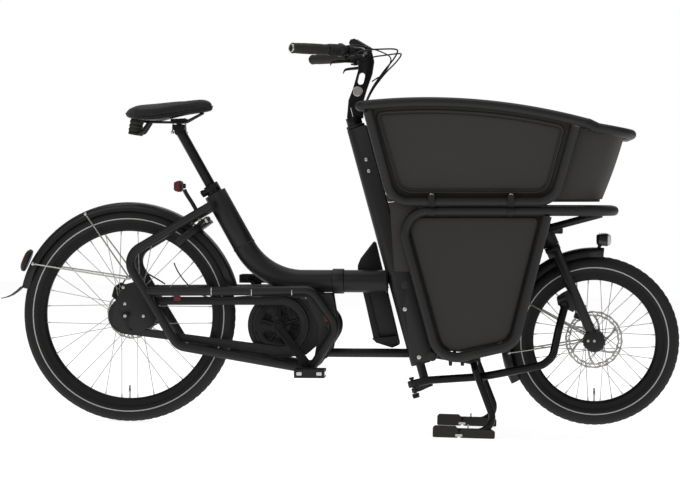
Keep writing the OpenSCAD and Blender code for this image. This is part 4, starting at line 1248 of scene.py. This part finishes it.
def display_and_hoses():
    """The display with its glass and buttons, and the hoses and cable at the bar."""
    side_view = [(690, 1177), (696, 1191), (709, 1194), (756, 1166), (763, 1154), (748, 1150)]
    case = prism(rounded(side_view, 6, 6), -33, 33)
    add_piece("display_case", *case, "handlebar_unit", PLASTIC, bevel=3.5, segments=4)
    slope = Vector((47, 0, -28)).normalized()
    up = Vector((-slope.z, 0, slope.x))
    middle = Vector((733, 0, 1180.6))
    outline = [middle + slope * along + Vector((0, y, 0))
               for along, y in ((-21, -26), (21, -26), (21, 26), (-21, 26))]
    points = [p + up * 0.2 for p in outline] + [p + up * 1.4 for p in outline]
    faces = [(0, 1, 2, 3), (7, 6, 5, 4)]
    faces += [(k, (k + 1) % 4, 4 + (k + 1) % 4, 4 + k) for k in range(4)]
    add_piece("display_glass", points, faces, "handlebar_unit", SCREEN, bevel=0.8, segments=3)
    button = lathe([(0, 0), (3.4, 0), (3.4, 0.8), (2.4, 1.5), (0, 1.6)], 20)
    buttons = []
    for y in (-20, 0, 20):
        at = middle + slope * 25.5 + Vector((0, y, 0)) + up * 0.4
        buttons.append(placed(button, facing(at, up)))
    add_piece("display_buttons", *merge(buttons), "handlebar_unit", GRIP)
    clamp = lathe([(13, -4), (16, -4), (16.6, -3), (16.6, 3), (16, 4), (13, 4)], 32)
    clamps = [placed(clamp, facing((BAR_X, y, BAR_Z), LEFT)) for y in (-29, 29)]
    add_piece("display_clamps", *merge(clamps), "handlebar_unit", PLASTIC)
    hose = spline_path([
        (712, -205, 1127), (728, -203, 1138), (752, -190, 1148), (800, -158, 1153),
        (838, -122, 1155), (846, -100, 1149), (832, -76, 1126), (800, -48, 1090),
        (770, -30, 1050), (752, -20, 1018), (738, -12, 985),
    ], 9)
    tube("brake_hoses", hose, 2.4, "handlebar_unit", HOSE, sides=12, mirror=True)
    cable = spline_path([
        (692, -196, 1160), (716, -176, 1164), (752, -150, 1160), (800, -112, 1146), (824, -88, 1130),
        (816, -64, 1104), (786, -40, 1066), (760, -26, 1030), (744, -17, 988),
    ], 9)
    tube("shift_cable", cable, 2.0, "handlebar_unit", HOSE, sides=12)
    clip = [tube_shape([(783, y, 1076 + y * 0.05), (761, y * 0.3, 1062)], 1.2, 8) for y in (-34, 34)]
    add_piece("hose_clip", *merge(clip), "handlebar_unit", PLASTIC)


display_and_hoses()


def stem_details():
    """The stem's blank badges and screws, and the cap on the column."""
    badge = lathe([(0, 1.2), (12.8, 1.2), (13.3, 0.6), (14.6, 0.6), (15.3, 0.1), (15.3, -2)], 48)
    caps = [placed(badge, facing((718, side * 16, 1031), (0, side, 0))) for side in (-1, 1)]
    add_piece("stem_pivot_caps", *merge(caps), "handlebar_unit", ALLOY)
    cap = [(27.5, -9), (29, -8), (29, -3), (27, -1), (20, 0.5), (19, 6), (16, 7)]
    cap = placed(lathe(cap, 44), COLUMN_UP)
    add_piece("column_top_cap", *cap, "handlebar_unit", PLASTIC)
    screws("stem_screws", [((727, side * 14, 974), (0, side, 0)) for side in (-1, 1)],
           "handlebar_unit", radius=4.4, height=3)
    screws("bar_clamp_screws", [((756, y, 1160), (0.7, 0, 0.7)) for y in (-17, 17)],
           "handlebar_unit", radius=4, height=3)


stem_details()


# ---- Mudguards and their stays ---------------------------------------------------
REAR_AT = Vector((0, 0, REAR_R))
FRONT_AT = Vector((WHEELBASE, 0, FRONT_R))


def mudguard_strip(centre, radius, half, depth, start, end, steps=72):
    """A thin curved guard with a rounded section and turned-in edges, closed all round."""
    section = []
    count = 22
    for k in range(count + 1):
        a = math.pi * k / count
        flat = math.copysign(abs(math.cos(a)) ** 0.72, math.cos(a))
        section.append((half * flat, depth * (math.sin(a) ** 0.62 - 1)))
    inner = [(y * (1 - 2.0 / half), drop - 1.6) for y, drop in reversed(section)]
    rings = []
    for k in range(steps + 1):
        a = math.radians(start + (end - start) * k / steps)
        taper = min(1.0, 0.55 + 0.45 * math.sin(math.pi * min(1, min(k, steps - k) / 7) / 2))
        out = Vector((math.cos(a), 0, math.sin(a)))
        rings.append([centre + out * (radius + drop) + Vector((0, y * taper, 0))
                      for y, drop in section + inner])
    return skin(rings)


def stay(foot, tip):
    """A round stay."""
    foot = Vector(foot)
    tip = Vector(tip)
    return tube_shape([foot, foot.lerp(tip, 0.5), tip], 2.5, 14)


def stay_heads(profile, spots):
    """Screw heads of this profile at each (x, y, z), left and right, facing out."""
    head = lathe(profile, 24)
    return [placed(head, facing((x, side * y, z), (0, side, 0))) for x, y, z in spots for side in (1, -1)]


def rear_guard():
    """The rear mudguard with its flap, ridge and stays."""
    strip = mudguard_strip(REAR_AT, 352, 34, 26, 12, 166)
    piece = add_piece("rear_mudguard_shell", *strip, "main_frame", GUARD, smooth=50)
    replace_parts(piece, "rear_mudguard")
    flap = []
    for t, wide in ((0, 27), (0.25, 27), (0.5, 26), (0.75, 25), (0.92, 22), (1, 15)):
        x = -340 - 66 * t
        z = 422 - 37 * t - 8 * math.sin(math.pi * t)
        flap.append([Vector((x + 0.6 * a, y * wide, z - 1.3 * a))
                     for a, ys in ((-1, (-1, -0.5, 0.5, 1)), (1, (1, 0.5, -0.5, -1))) for y in ys])
    add_piece("rear_mudguard_flap", *skin(flap), "main_frame", RUBBER, smooth=60, bevel=0.5)
    ridge = mudguard_strip(REAR_AT, 352.6, 5.5, 1.4, 14, 164)
    add_piece("rear_mudguard_ridge", *ridge, "main_frame", GUARD, smooth=50)
    stays = [stay((10, -62, 452), (-133, -34.5, 650)), stay((6, -62, 448), (-300, -34.5, 494))]
    add_piece("rear_stays", *both_sides(merge(stays)), "main_frame", STEEL)
    heads = stay_heads([(0, 5), (2.6, 5), (4.6, 3.6), (5.4, 1.4), (5.4, -1), (4.4, -2.6), (0, -2.6)],
                       [(-133, 35, 650), (-300, 35, 494)])
    heads += stay_heads([(0, 7), (4, 7), (5.8, 5.5), (5.8, -2), (0, -2)], [(9, 64, 452)])
    add_piece("rear_stay_heads", *merge(heads), "main_frame", ALLOY)


rear_guard()


def front_guard():
    """The front mudguard and its stays, which turn with the fork."""
    strip = mudguard_strip(FRONT_AT, 288, 33, 28, 84, 208)
    piece = add_piece("front_mudguard_shell", *strip, "fork_unit", GUARD, smooth=50)
    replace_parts(piece, "front_mudguard")
    stays = [stay((1437, -70, 272), (1232, -34, 386)), stay((1437, -70, 264), (1188, -34, 224))]
    add_piece("front_stays", *both_sides(merge(stays)), "fork_unit", STEEL)
    heads = stay_heads([(0, 4), (2.6, 4), (4.4, 2.8), (5, 1), (5, -2), (0, -2)],
                       [(1232, 35, 386), (1188, 35, 224)])
    add_piece("front_stay_heads", *merge(heads), "fork_unit", ALLOY)


front_guard()


# ---- Lights ----------------------------------------------------------------------
def rear_light_pieces():
    """The light on the mudguard, and the one below the saddle with its bracket."""
    oval = []
    along = Vector((28, 0, 66)).normalized()
    out = Vector((-along.z, 0, along.x))
    middle = Vector((-328, 0, 505))
    for lift, scale in ((0, 1.0), (3, 1.0), (7, 0.92), (9.5, 0.72), (10.6, 0.4), (10.8, 0.05)):
        oval.append([middle + along * (33 * c * scale) + Vector((0, 20 * s * scale, 0)) + out * lift
                     for c, s in (squarish(a, 0.8) for a in angles(40))])
    mudguard_lens = add_piece("mudguard_light_lens", *skin(oval), "main_frame", RED_DARK, smooth=60)
    base = []
    for lift, scale in ((-9, 0.96), (-7, 1.06), (1.5, 1.08), (3, 1.03)):
        base.append([middle + along * (34 * c * scale) + Vector((0, 21 * s * scale, 0)) + out * lift
                     for c, s in (squarish(a, 0.8) for a in angles(40))])
    add_piece("mudguard_light_base", *skin(base), "main_frame", PLASTIC, smooth=50)
    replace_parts(mudguard_lens, "rear_lights")
    lens = prism(rounded([(143, 724), (143, 749), (153, 753), (153, 721)], 5, 5), -22, 22)
    add_piece("tail_light_lens", *lens, "main_frame", RED_DARK, bevel=2, segments=3)
    end = rounded([(147, 722), (147, 751), (162, 756), (162, 718)], 4)
    ends = [prism(end, side * 22.2 - 1.6, side * 22.2 + 1.6) for side in (-1, 1)]
    add_piece("tail_light_ends", *merge(ends), "main_frame", RED_DARK, bevel=0.8)
    case = [
        prism(rounded([(153, 720), (153, 754), (162, 755), (168, 749), (168, 725), (162, 719)], 4), -20, 20),
        tube_shape(spline_path([(174, -4, 727), (180, -4, 714), (198, -4, 686), (212, -4, 662)], 6),
                   6.5, 16),
        placed(lathe([(0, -4), (7, -4), (7.6, -3), (7.6, 3), (7, 4), (0, 4)], 24),
               facing((176, -14, 738), AHEAD)),
    ]
    add_piece("tail_light_case", *merge(case), "main_frame", PLASTIC, bevel=1)


rear_light_pieces()


def headlight_pieces():
    """The headlight's body, lens, foot and cooling fins."""
    around = [squarish(a, 0.55) for a in angles(40)]
    body = []
    for x, half, low, high in ((1455, 15, 559, 586), (1458, 19, 556, 589), (1470, 20.6, 554, 591),
                               (1486, 21, 552, 592), (1489, 21, 552, 592)):
        body.append([Vector((x, half * c, (low + high) / 2 + (high - low) / 2 * s)) for c, s in around])
    piece = add_piece("headlight_body", *skin(body), "fork_unit", GLOSS, smooth=50)
    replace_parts(piece, "headlight")
    lens = []
    for x, scale in ((1489, 0.93), (1493, 0.93), (1497, 0.84), (1499.5, 0.55), (1500.4, 0.08)):
        lens.append([Vector((x, 20 * scale * c, 572 + 19.5 * scale * s)) for c, s in around])
    add_piece("headlight_lens", *skin(lens), "fork_unit", LENS, smooth=60)
    foot = [
        prism(rounded([(1460, 557), (1472, 557), (1464, 538), (1454, 538)], 3), -4, 4),
        placed(lathe([(0, -9), (5, -9), (6, -8), (6, 8), (5, 9), (0, 9)], 24),
               facing((1466, 0, 556), LEFT)),
        prism(rounded([(1448, 549), (1468, 547), (1468, 543), (1448, 545)], 1.5), -9, 9),
    ]
    add_piece("headlight_foot", *merge(foot), "fork_unit", PLASTIC, bevel=0.7)
    fins = [prism([(x, 591.5), (x + 2.5, 591.5), (x + 2.5, 593.5), (x, 593)], -13, 13)
            for x in (1462, 1468, 1474, 1480)]
    add_piece("headlight_fins", *merge(fins), "fork_unit", PLASTIC)


headlight_pieces()


# ---- Wheels' bright parts --------------------------------------------------------
def sidewall_stripes(name, place, body, outer, section, at_radius):
    """A thin reflective line round each sidewall."""
    middle = outer - section
    shapes = []
    for side in (-1, 1):
        profile = []
        for k in range(5):
            r = at_radius - 1.6 + 0.8 * k
            reach = math.sqrt(max(0.0, section ** 2 - (r - middle) ** 2))
            profile.append((r, side * (reach + 0.12)))
        shapes.append(lathe(profile, 160))
    add_piece(name, *merge(shapes), body, STRIPE, place, smooth=60)


sidewall_stripes("rear_tyre_stripes", REAR_AXLE, "rear_wheel_unit", REAR_R, REAR_SECTION, 301)
sidewall_stripes("front_tyre_stripes", FRONT_AXLE, "front_wheel_unit", FRONT_R, FRONT_SECTION, 226)


def brake_disc(name, node, place, body, outer, z, bolts=6):
    """A disc with a scalloped, slotted brake track on curved arms."""
    def flat_ring(inside, outside):
        rings = []
        for a in angles(240):
            rings.append([Vector((r * math.cos(a), r * math.sin(a), z + h)) for r, h in
                          ((outside(a), -1), (outside(a), 1), (inside(a), 1), (inside(a), -1))])
        return skin(rings, closed=True)

    waves = 18 if outer > 85 else 16
    parts = [
        flat_ring(lambda a: outer - 7 - 0.8 * math.sin(waves * a + 1.6),
                  lambda a: outer - 0.4 - 1.7 * (0.5 + 0.5 * math.sin(waves * a))),
        flat_ring(lambda a: outer - 17 - 1.4 * math.sin(waves * a),
                  lambda a: outer - 11.5 + 1.0 * math.sin(waves * a + 1.6)),
    ]
    for a in angles(waves * 2):
        foot = Vector(((outer - 12.5) * math.cos(a), (outer - 12.5) * math.sin(a), z))
        tip = Vector(((outer - 6) * math.cos(a + 0.07), (outer - 6) * math.sin(a + 0.07), z))
        parts.append(tube_shape([foot, tip], 1.5, 6))
    parts.append(flat_ring(lambda a: 22.2, lambda a: 30 + 2.2 * math.cos(bolts * a)))
    for a in angles(bolts):
        path = []
        for j in range(9):
            t = j / 8
            r = 29 + (outer - 15 - 29) * t
            b = a + 0.52 * t
            path.append(Vector((r * math.cos(b), r * math.sin(b), z)))
        rings = []
        for j, p in enumerate(path):
            ahead = (path[min(j + 1, 8)] - path[max(0, j - 1)]).normalized()
            across = ahead.cross(Vector((0, 0, 1)))
            wide = 4.2 - 1.2 * math.sin(math.pi * j / 8)
            rings.append([p + across * (wide * side) + Vector((0, 0, 0.9 * up))
                          for side, up in ((1, 1), (1, -1), (-1, -1), (-1, 1))])
        parts.append(skin(rings))
    piece = add_piece(name, *merge(parts), body, STEEL, place, smooth=30)
    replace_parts(piece, node)
    heads = [placed(head_screw(3.6, 2.4), Matrix.Translation((26 * math.cos(a), 26 * math.sin(a), z + 1)))
             for a in angles(bolts)]
    add_piece(name + "_bolts", *merge(heads), body, ALLOY_BLACK, place)


brake_disc("rear_brake_disc", "rear_disc", REAR_AXLE, "rear_wheel_unit", 80, -46)
brake_disc("front_brake_disc", "front_disc", FRONT_AXLE, "front_wheel_unit", 90, -44)


def hub_cover():
    """The toothed cover round the right end of the fork, with two bolts."""
    points, faces = lathe([(0, -2), (26, -2), (31, -1), (33.6, 2), (33.6, 12), (31, 16), (24, 17.6),
                           (10, 18), (0, 18)], 96)
    toothed = []
    for p in points:
        r = math.hypot(p.x, p.y)
        a = math.atan2(p.y, p.x)
        scale = 1 + (1.3 * math.copysign(1, math.sin(20 * a)) / r if r > 30 else 0)
        toothed.append(Vector((p.x * scale, p.y * scale, p.z)))
    spot = facing((1446, -62, 264), RIGHT)
    add_piece("front_hub_cover", *placed((toothed, faces), spot), "fork_unit", PLASTIC, smooth=35)
    screws("front_hub_bolts", [((1428, -80, 265), RIGHT), ((1447, -80, 265), RIGHT)],
           "fork_unit", radius=4.2, height=3)


hub_cover()


def plate_bolts():
    """The dropout plates' bolts, axle nuts, reflectors, cable clips and the light's cable."""
    places = []
    for x, z in ((-9, 423), (-4, 372), (54, 334)):
        for side in (-1, 1):
            places.append(((x, side * 64.5, z), (0, side, 0)))
    screws("dropout_bolts", places, "main_frame", radius=5, height=3.4)
    nut = lathe([(0, 4), (4.6, 4), (5.1, 3.4), (5.1, 0)], 24)
    hexagon = lathe([(5.1, 5.2), (10.6, 5.2), (11.2, 4.4), (11.2, -1)], 6)
    shapes = [placed(merge([nut, hexagon]), facing((0, side * 71, 335), (0, side, 0))) for side in (-1, 1)]
    add_piece("axle_nuts", *merge(shapes), "main_frame", PLASTIC, smooth=25)
    reflectors = [
        prism(rounded([(148, 381), (172, 381), (170, 397), (146, 397)], 3), -61, -57),
        prism(rounded([(618, 318), (632, 318), (628, 342), (614, 342)], 3), -50, -46.3),
    ]
    add_piece("side_reflectors", *merge(reflectors), "main_frame", RED_DARK, bevel=0.8)
    clip = lathe([(14.2, -1.2), (14.9, -1.2), (14.9, 1.2), (14.2, 1.2)], 32)
    clips = [placed(clip, facing((x, -STAY_Y, 412), AHEAD)) for x in (270, 395, 520)]
    add_piece("cable_clips", *merge(clips), "main_frame", ALLOY)
    cable = spline_path([(206, -52, 560), (150, -60, 500), (240, -70, 399), (400, -72, 398),
                         (560, -70, 400), (610, -48, 396)], 8)
    tube("light_cable", cable[8:], 2.0, "main_frame", HOSE, sides=10)


plate_bolts()


# ---- Drive -----------------------------------------------------------------------
CHAIN_Y = -50
RING_R = 77
COG_R = 46


def chain_links():
    """Links round the chainring and the sprocket, as inner and outer plates by turns."""
    low = Vector((0, 0, REAR_R))
    span = CRANK_AT - low
    reach = span.length
    lean = math.asin((RING_R - COG_R) / reach)
    base = math.atan2(span.z, span.x)
    path = []
    up = base + math.pi / 2 + lean
    down = base - math.pi / 2 - lean
    for k in range(61):
        a = up - (up - down) * k / 60
        path.append(CRANK_AT + Vector((math.cos(a), 0, math.sin(a))) * RING_R)
    for k in range(41):
        a = down - (2 * math.pi - (up - down)) * k / 40
        path.append(low + Vector((math.cos(a), 0, math.sin(a))) * COG_R)
    path.append(path[0])
    lengths = [0.0]
    for a, b in zip(path, path[1:]):
        lengths.append(lengths[-1] + (b - a).length)
    count = 2 * round(lengths[-1] / 12.7 / 2)

    def at(distance):
        distance %= lengths[-1]
        for i in range(1, len(lengths)):
            if lengths[i] >= distance:
                t = (distance - lengths[i - 1]) / max(1e-6, lengths[i] - lengths[i - 1])
                return path[i - 1].lerp(path[i], t)
        return path[-1]

    shapes = []
    for k in range(count):
        a = at(lengths[-1] * k / count)
        b = at(lengths[-1] * (k + 1) / count)
        turn = Matrix.Translation(a) @ Matrix.Rotation(-math.atan2(b.z - a.z, b.x - a.x), 4, "Y")
        pitch = (b - a).length
        plate = []
        for t in angles(20):
            c = math.cos(t)
            plate.append((pitch / 2 + c * (pitch / 2 + 4.0), 3.6 * math.sin(t) * (0.82 + 0.18 * abs(c))))
        inner = k % 2 == 0
        for side in (-1, 1):
            near = 1.5 if inner else 2.5
            low_y, high_y = sorted((side * near, side * (near + 0.9)))
            shapes.append(placed(prism(plate, CHAIN_Y + low_y, CHAIN_Y + high_y), turn))
        shapes.append(placed(tube_shape([(0, CHAIN_Y - 3.4, 0), (0, CHAIN_Y + 3.4, 0)], 1.9, 10), turn))
    piece = add_piece("chain_links", *merge(shapes), "main_frame", CHAIN, smooth=30)
    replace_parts(piece, "chain")


chain_links()


def motor_cover():
    """Rings, ribs and screws on the motor's two sides."""
    shapes = []
    ringed = lathe([(98, 0), (98, 2), (95, 3.4), (90, 3.4), (88, 1.2), (80, 1.2), (78, 3), (70, 3.2),
                    (68, 0.6), (40, 0.6), (38, 2.4), (22, 2.6), (20, 0)], 72)
    for side, y in ((1, 60), (-1, 37)):
        shapes.append(placed(ringed, facing(CRANK_AT + Vector((0, side * y, 0)), (0, side, 0))))
        for a in angles(10):
            rib = [CRANK_AT + Vector((r * math.cos(a), side * (y + 1), r * math.sin(a)))
                   for r in (42, 66)]
            shapes.append(tube_shape(rib, 2.0, 8))
    add_piece("motor_covers", *merge(shapes), "main_frame", PLASTIC, smooth=35)
    heads = []
    for k in range(6):
        a = 2 * math.pi * (k + 0.3) / 6
        for side, y in ((1, 61), (-1, 38)):
            heads.append((CRANK_AT + Vector((84 * math.cos(a), side * y, 84 * math.sin(a))), (0, side, 0)))
    screws("motor_screws", heads, "main_frame", PLASTIC, radius=4.6, height=3)


motor_cover()


def crank_details():
    """The chainring's spider, a cover round the crank axle, and the crank bolts."""
    shapes = []
    arm_turn = math.radians(53)
    for k in range(5):
        a = -arm_turn + 2 * math.pi * k / 5
        out = Vector((math.cos(a), 0, math.sin(a)))
        foot = CRANK_AT + out * 10 + Vector((0, -55.4, 0))
        tip = CRANK_AT + out * 60 + Vector((0, -55.4, 0))
        shapes.append(tube_shape([foot, foot.lerp(tip, 0.5), tip], lambda t: 7.0 - 2.6 * t, 14))
    cover = lathe([(30, 52), (30, 56), (24, 58.5), (16, 59.5), (16, 95)], 40)
    shapes.append(placed(cover, facing(CRANK_AT, RIGHT)))
    add_piece("chainring_spider", *merge(shapes), "cranks", ALLOY_BLACK, smooth=40)
    cap = lathe([(0, 1.2), (3.4, 1.2), (4.2, 0.4), (8.5, 0.4), (9.4, 1.6), (10.4, 1.6), (11, 0),
                 (11, -1)], 32)
    caps = [placed(cap, facing(CRANK_AT + Vector((0, side * 110, 0)), (0, side, 0)))
            for side in (-1, 1)]
    add_piece("crank_bolts", *merge(caps), "cranks", ALLOY_BLACK)


crank_details()


# ---- Pedals ----------------------------------------------------------------------
def pedal_pieces(node, body):
    """A pedal with a caged body, a ribbed tread and clear reflectors at front and back."""
    low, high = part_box(node)
    middle = BIKE.inverted() @ ((low + high) / 2)
    side = -1 if middle.y < 0 else 1
    inner = middle.y - side * 38
    outer = middle.y + side * 34

    def block(outline, y0, y1):
        shifted = [(middle.x + x, middle.z + z) for x, z in outline]
        return prism(shifted, min(y0, y1), max(y0, y1))

    plate = rounded([(-43, -11), (43, -11), (45, 4), (40, 12), (-40, 12), (-45, 4)], 5)
    parts = [block(plate, y, y + side * 5) for y in (inner, outer)]
    parts += [block(rectangle(x, x + 6, -10, 10, 2), inner, outer) for x in (-40, 34)]
    parts += [block(rectangle(x, x + 8, -9, 11, 2), inner, outer) for x in (-22, 14)]
    parts.append(tube_shape([(middle.x, inner - side * 4, middle.z), (middle.x, outer + side * 3, middle.z)],
                            lambda t: 11.5 - 2.5 * t, 28))
    add_piece(node + "_cage", *merge(parts), body, PLASTIC, bevel=0.8)
    lights = [block(rectangle(x - 0.4, x + 2.4, -6, 6, 0.8), inner + side * 10, outer - side * 4)
              for x in (-47.2, 45)]
    add_piece(node + "_reflectors", *merge(lights), body, LENS, bevel=0.6)
    ends = [block(rectangle(x - 8, x + 8, -5, 5, 2.5), outer + side * 5, outer + side * 6.2)
            for x in (-30.36, 30.36)]
    add_piece(node + "_end_reflectors", *merge(ends), body, LENS)


pedal_pieces("right_pedal", "pedal_right")
pedal_pieces("left_pedal", "pedal_left")


# ---- Stand -----------------------------------------------------------------------
def stand_pieces():
    """The stand's bent tube, and its rubber feet with their links and tabs."""
    leg = route([(1082, -154, 196), (1086, -166, 180), (1146, -178, 22), (1104, -178, -6), (985, -178, -4)],
                [0, 12, 40, 40, 0], 14)
    bar = tube_shape([(1082, -156, 196), (1082, 156, 196)], 10.5, 28)
    legs = both_sides(skin(rings_along(leg, 10.5, 28)))
    piece = add_piece("stand_legs", *merge([legs, bar]), "stand", ALLOY_BLACK)
    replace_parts(piece, "kickstand")
    level = BIKE @ Matrix.Rotation(math.radians(1.27), 4, "Y")
    low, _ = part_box("kickstand")
    foot = (level.inverted() @ Vector((0, 0, low.z))).z
    pads = []
    for x0, x1, half, tall, nose in ((958, 1035, 14, 34, 9), (1040, 1146, 13, 27, 12)):
        outline = [(x0, foot + 2), (x0 + 5, foot), (x1, foot), (x1, foot + tall * 0.72),
                   (x1 - nose, foot + tall), (x0 + 6, foot + tall), (x0, foot + tall - 5)]
        pads.append(prism(rounded(outline, 5, 5), -178 - half, -178 + half))
        for k in range(int((x1 - x0 - 24) / 7)):
            x = x0 + 12 + 7 * k
            pads.append(prism([(x, foot - 0.05), (x + 3.4, foot - 0.05), (x + 3.4, foot + 1), (x, foot + 1)],
                              -178 - half - 0.6, -178 + half + 0.6))
    add_piece("stand_pads", *both_sides(merge(pads)), "stand", GRIP, level, bevel=1.2, smooth=45)
    links = prism(rectangle(1026, 1048, foot + 4, foot + 12, 2), -193.5, -162.5)
    add_piece("stand_links", *both_sides(links), "stand", ALLOY, level, bevel=0.8)
    tabs = []
    for x in (1062, 1116):
        tabs.append(prism(rectangle(x, x + 5, foot + 25, foot + 40, 1.5), -180, -176))
        tabs.append(tube_shape([(x + 2, -184, foot + 33), (x + 2, -172, foot + 33)], 2.6, 12))
    add_piece("stand_tabs", *both_sides(merge(tabs)), "stand", STEEL, level)


stand_pieces()


# ---- Battery ---------------------------------------------------------------------
def battery_pieces():
    """The battery's case, the seam round it and its charge lights."""
    outline = rounded([(763, 564), (723, 512), (714, 490), (714, 463), (732, 400), (764, 257),
                       (774, 247), (822, 232), (845, 242), (769, 560)], 7, 5)
    middle = middle_of(outline)
    rings = []
    for y, scale in ((40.3, 0.985), (41.5, 1.0), (98, 1.0), (102, 0.993), (105, 0.975), (106, 0.94),
                     (106, 0.5)):
        rings.append([Vector((middle.x + (x - middle.x) * scale, y, middle.y + (z - middle.y) * scale))
                      for x, z in outline])
    piece = add_piece("battery_case", *skin(rings), "main_frame", PLASTIC, smooth=40)
    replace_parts(piece, "battery")
    ring = [Vector((middle.x + (x - middle.x) * 1.004, 72, middle.y + (z - middle.y) * 1.004))
            for x, z in outline]
    seam = skin(rings_along(ring + ring[:1], 0.7, 6)[:-1], closed=True)
    add_piece("battery_seam", *seam, "main_frame", HOSE)
    light = lathe([(0, 1), (2.4, 1), (3, 0.4), (3, -1)], 16)
    lights = [placed(light, facing((741 + 3 * k, 106, 470 - 13 * k), LEFT)) for k in range(5)]
    add_piece("battery_lights", *merge(lights), "main_frame", SCREEN)


battery_pieces()


# ---- Steering rod ----------------------------------------------------------------
def rod_pieces():
    """The steering rod with the boss, bolts and dust boot of its rear joint."""
    rear = Vector((900, -99.51, 108))
    front = Vector((1354, -99, 376))
    axis = Vector((-0.25626, 0.02547, 0.96627))
    path = route([rear + axis * 25, (944, -106, 144), (1105, -134, 158), (1165, -160, 171),
                  (1290, -163, 197), (1320, -158, 222), (1338, -136, 305),
                  front + Vector((2, -3, -6))], [0, 30, 200, 200, 45, 45, 90, 0], 16)
    add_piece("rod_tube", *tube_shape(path, 12, 28), "link_rod", ALLOY_BLACK)
    boss = lathe([(0, -10.5), (12, -10.5), (14.5, -9), (15.3, -6), (15.3, 6), (14.5, 9), (12, 10.5),
                  (0, 10.5)], 36)
    add_piece("rod_rear_boss", *placed(boss, facing(rear + axis * 25, axis)), "link_rod", PLASTIC)
    bolts = [placed(lathe([(0, 5.5), (6.5, 5.5), (7.6, 4.4), (7.6, -1), (0, -1)], 6),
                    facing(rear + axis * 40, axis)),
             placed(lathe([(0, 3), (6, 3), (8.5, 1), (8.5, -3), (0, -3)], 24),
                    facing(rear - axis * 8, -axis))]
    add_piece("rod_bolts", *merge(bolts), "handlebar_unit", ALLOY)
    dust = lathe([(9, -12), (11.5, -10), (9.5, -7.5), (12, -5), (10, -2.5), (12.5, 0), (10, 2), (0, 2)], 32)
    add_piece("rod_dust_boot", *placed(dust, facing(rear - axis * 8, axis)), "handlebar_unit", RUBBER)


rod_pieces()


# ---- Lock and caliper details ----------------------------------------------------
def lock_pieces():
    """The lock's key barrel, the rib round its ring and its screws."""
    at = Matrix.Translation((60, 0, 12.2))
    barrel = lathe([(0, 5), (6, 5), (8.5, 4), (9.5, 2), (9.5, -2)], 32)
    key = placed(prism(rectangle(-1.2, 1.2, 0, 9, 0.6), -5, 5), Matrix.Translation((0, 0, 5)))
    add_piece("lock_key_barrel", *placed(merge([barrel, key]), at), "main_frame", ALLOY, LOCK)
    rim = []
    for k in range(41):
        a = math.radians(-112 + 224 * k / 40)
        rim.append(Vector((66.4 * math.cos(a), 66.4 * math.sin(a), 0)))
    add_piece("lock_rib", *tube_shape(rim, 2.2, 12), "main_frame", PLASTIC, LOCK)
    heads = [placed(head_screw(5, 3.4), Matrix.Translation((41, y, 11.2))) for y in (-44, 44)]
    add_piece("lock_screws", *merge(heads), "main_frame", ALLOY, LOCK)


lock_pieces()


def caliper_pieces():
    """Pistons, bolts and hose joints of the two brake calipers."""
    piston = lathe([(0, 4), (7.6, 4), (9.6, 2.6), (9.6, -2)], 28)
    bolt = lathe([(0, 5), (3.6, 5), (4.4, 4), (4.4, 0)], 6)
    rear = [placed(piston, facing((-36, 57, 402), LEFT)),
            placed(bolt, facing((-18, 57, 416), LEFT)),
            placed(bolt, facing((-52, 57, 398), LEFT))]
    add_piece("rear_caliper_bolts", *merge(rear), "main_frame", ALLOY_BLACK)
    hose = spline_path([(-30, 50, 432), (-14, 58, 452), (22, 70, 470), (60, 76, 452), (100, 78, 428)], 8)
    tube("rear_brake_hose", hose, 2.4, "main_frame", HOSE, sides=10)
    front = [placed(piston, facing((1402, 66, 348), LEFT)),
             placed(bolt, facing((1412, 66, 368), LEFT))]
    add_piece("front_caliper_bolts", *merge(front), "fork_unit", ALLOY_BLACK)
    hose = spline_path([(1394, 50, 366), (1380, 58, 392), (1372, 68, 430), (1358, 72, 470), (1342, 66, 512),
                        (1326, 48, 540)], 8)
    tube("front_brake_hose", hose, 2.4, "fork_unit", HOSE, sides=10)


caliper_pieces()


def box_details():
    """Seams and feet of the lower tub, and the blank plate on the head tube."""
    shapes = []
    for z, x0, x1 in ((480, 872, 1240), (680, 840, 1290)):
        shapes.append(prism([(x0, z - 1.2), (x1, z - 1.2), (x1, z + 1.2), (x0, z + 1.2)], -197.9, -197))
    add_piece("tub_seams", *both_sides(merge(shapes)), "main_frame", HOSE)
    feet = [tube_shape([(x, -198, 212), (x, -198, 196)], lambda t: 6 - t, 20) for x in (1012, 1048)]
    add_piece("tub_feet", *both_sides(merge(feet)), "main_frame", RUBBER)
    plate = prism(rectangle(-17, 17, -9, 9, 4), -1.2, 1.2)
    turned = Matrix.Translation((1336, -24, 600)) @ Matrix.Rotation(math.radians(-22), 4, "Z")
    add_piece("head_plate", *placed(plate, turned), "main_frame", ALLOY, bevel=0.5)


box_details()


# ---- Floor -----------------------------------------------------------------------
floor_mesh = bpy.data.meshes.new("floor")
floor_mesh.from_pydata([(-9, -6, 0), (9, -6, 0), (9, 9, 0), (-9, 9, 0)], [], [(0, 1, 2, 3)])
floor = bpy.data.objects.new("floor", floor_mesh)
FLOOR = surface("studio_floor", (0.5, 0.5, 0.5), 0.9, vary=0.01, specular=0.1)
floor_shader = FLOOR.node_tree.nodes["Principled BSDF"].inputs
floor_shader["Emission Color"].default_value = (1, 1, 1, 1)
floor_shader["Emission Strength"].default_value = 0.84
floor.data.materials.append(FLOOR)
bpy.context.scene.collection.objects.link(floor)
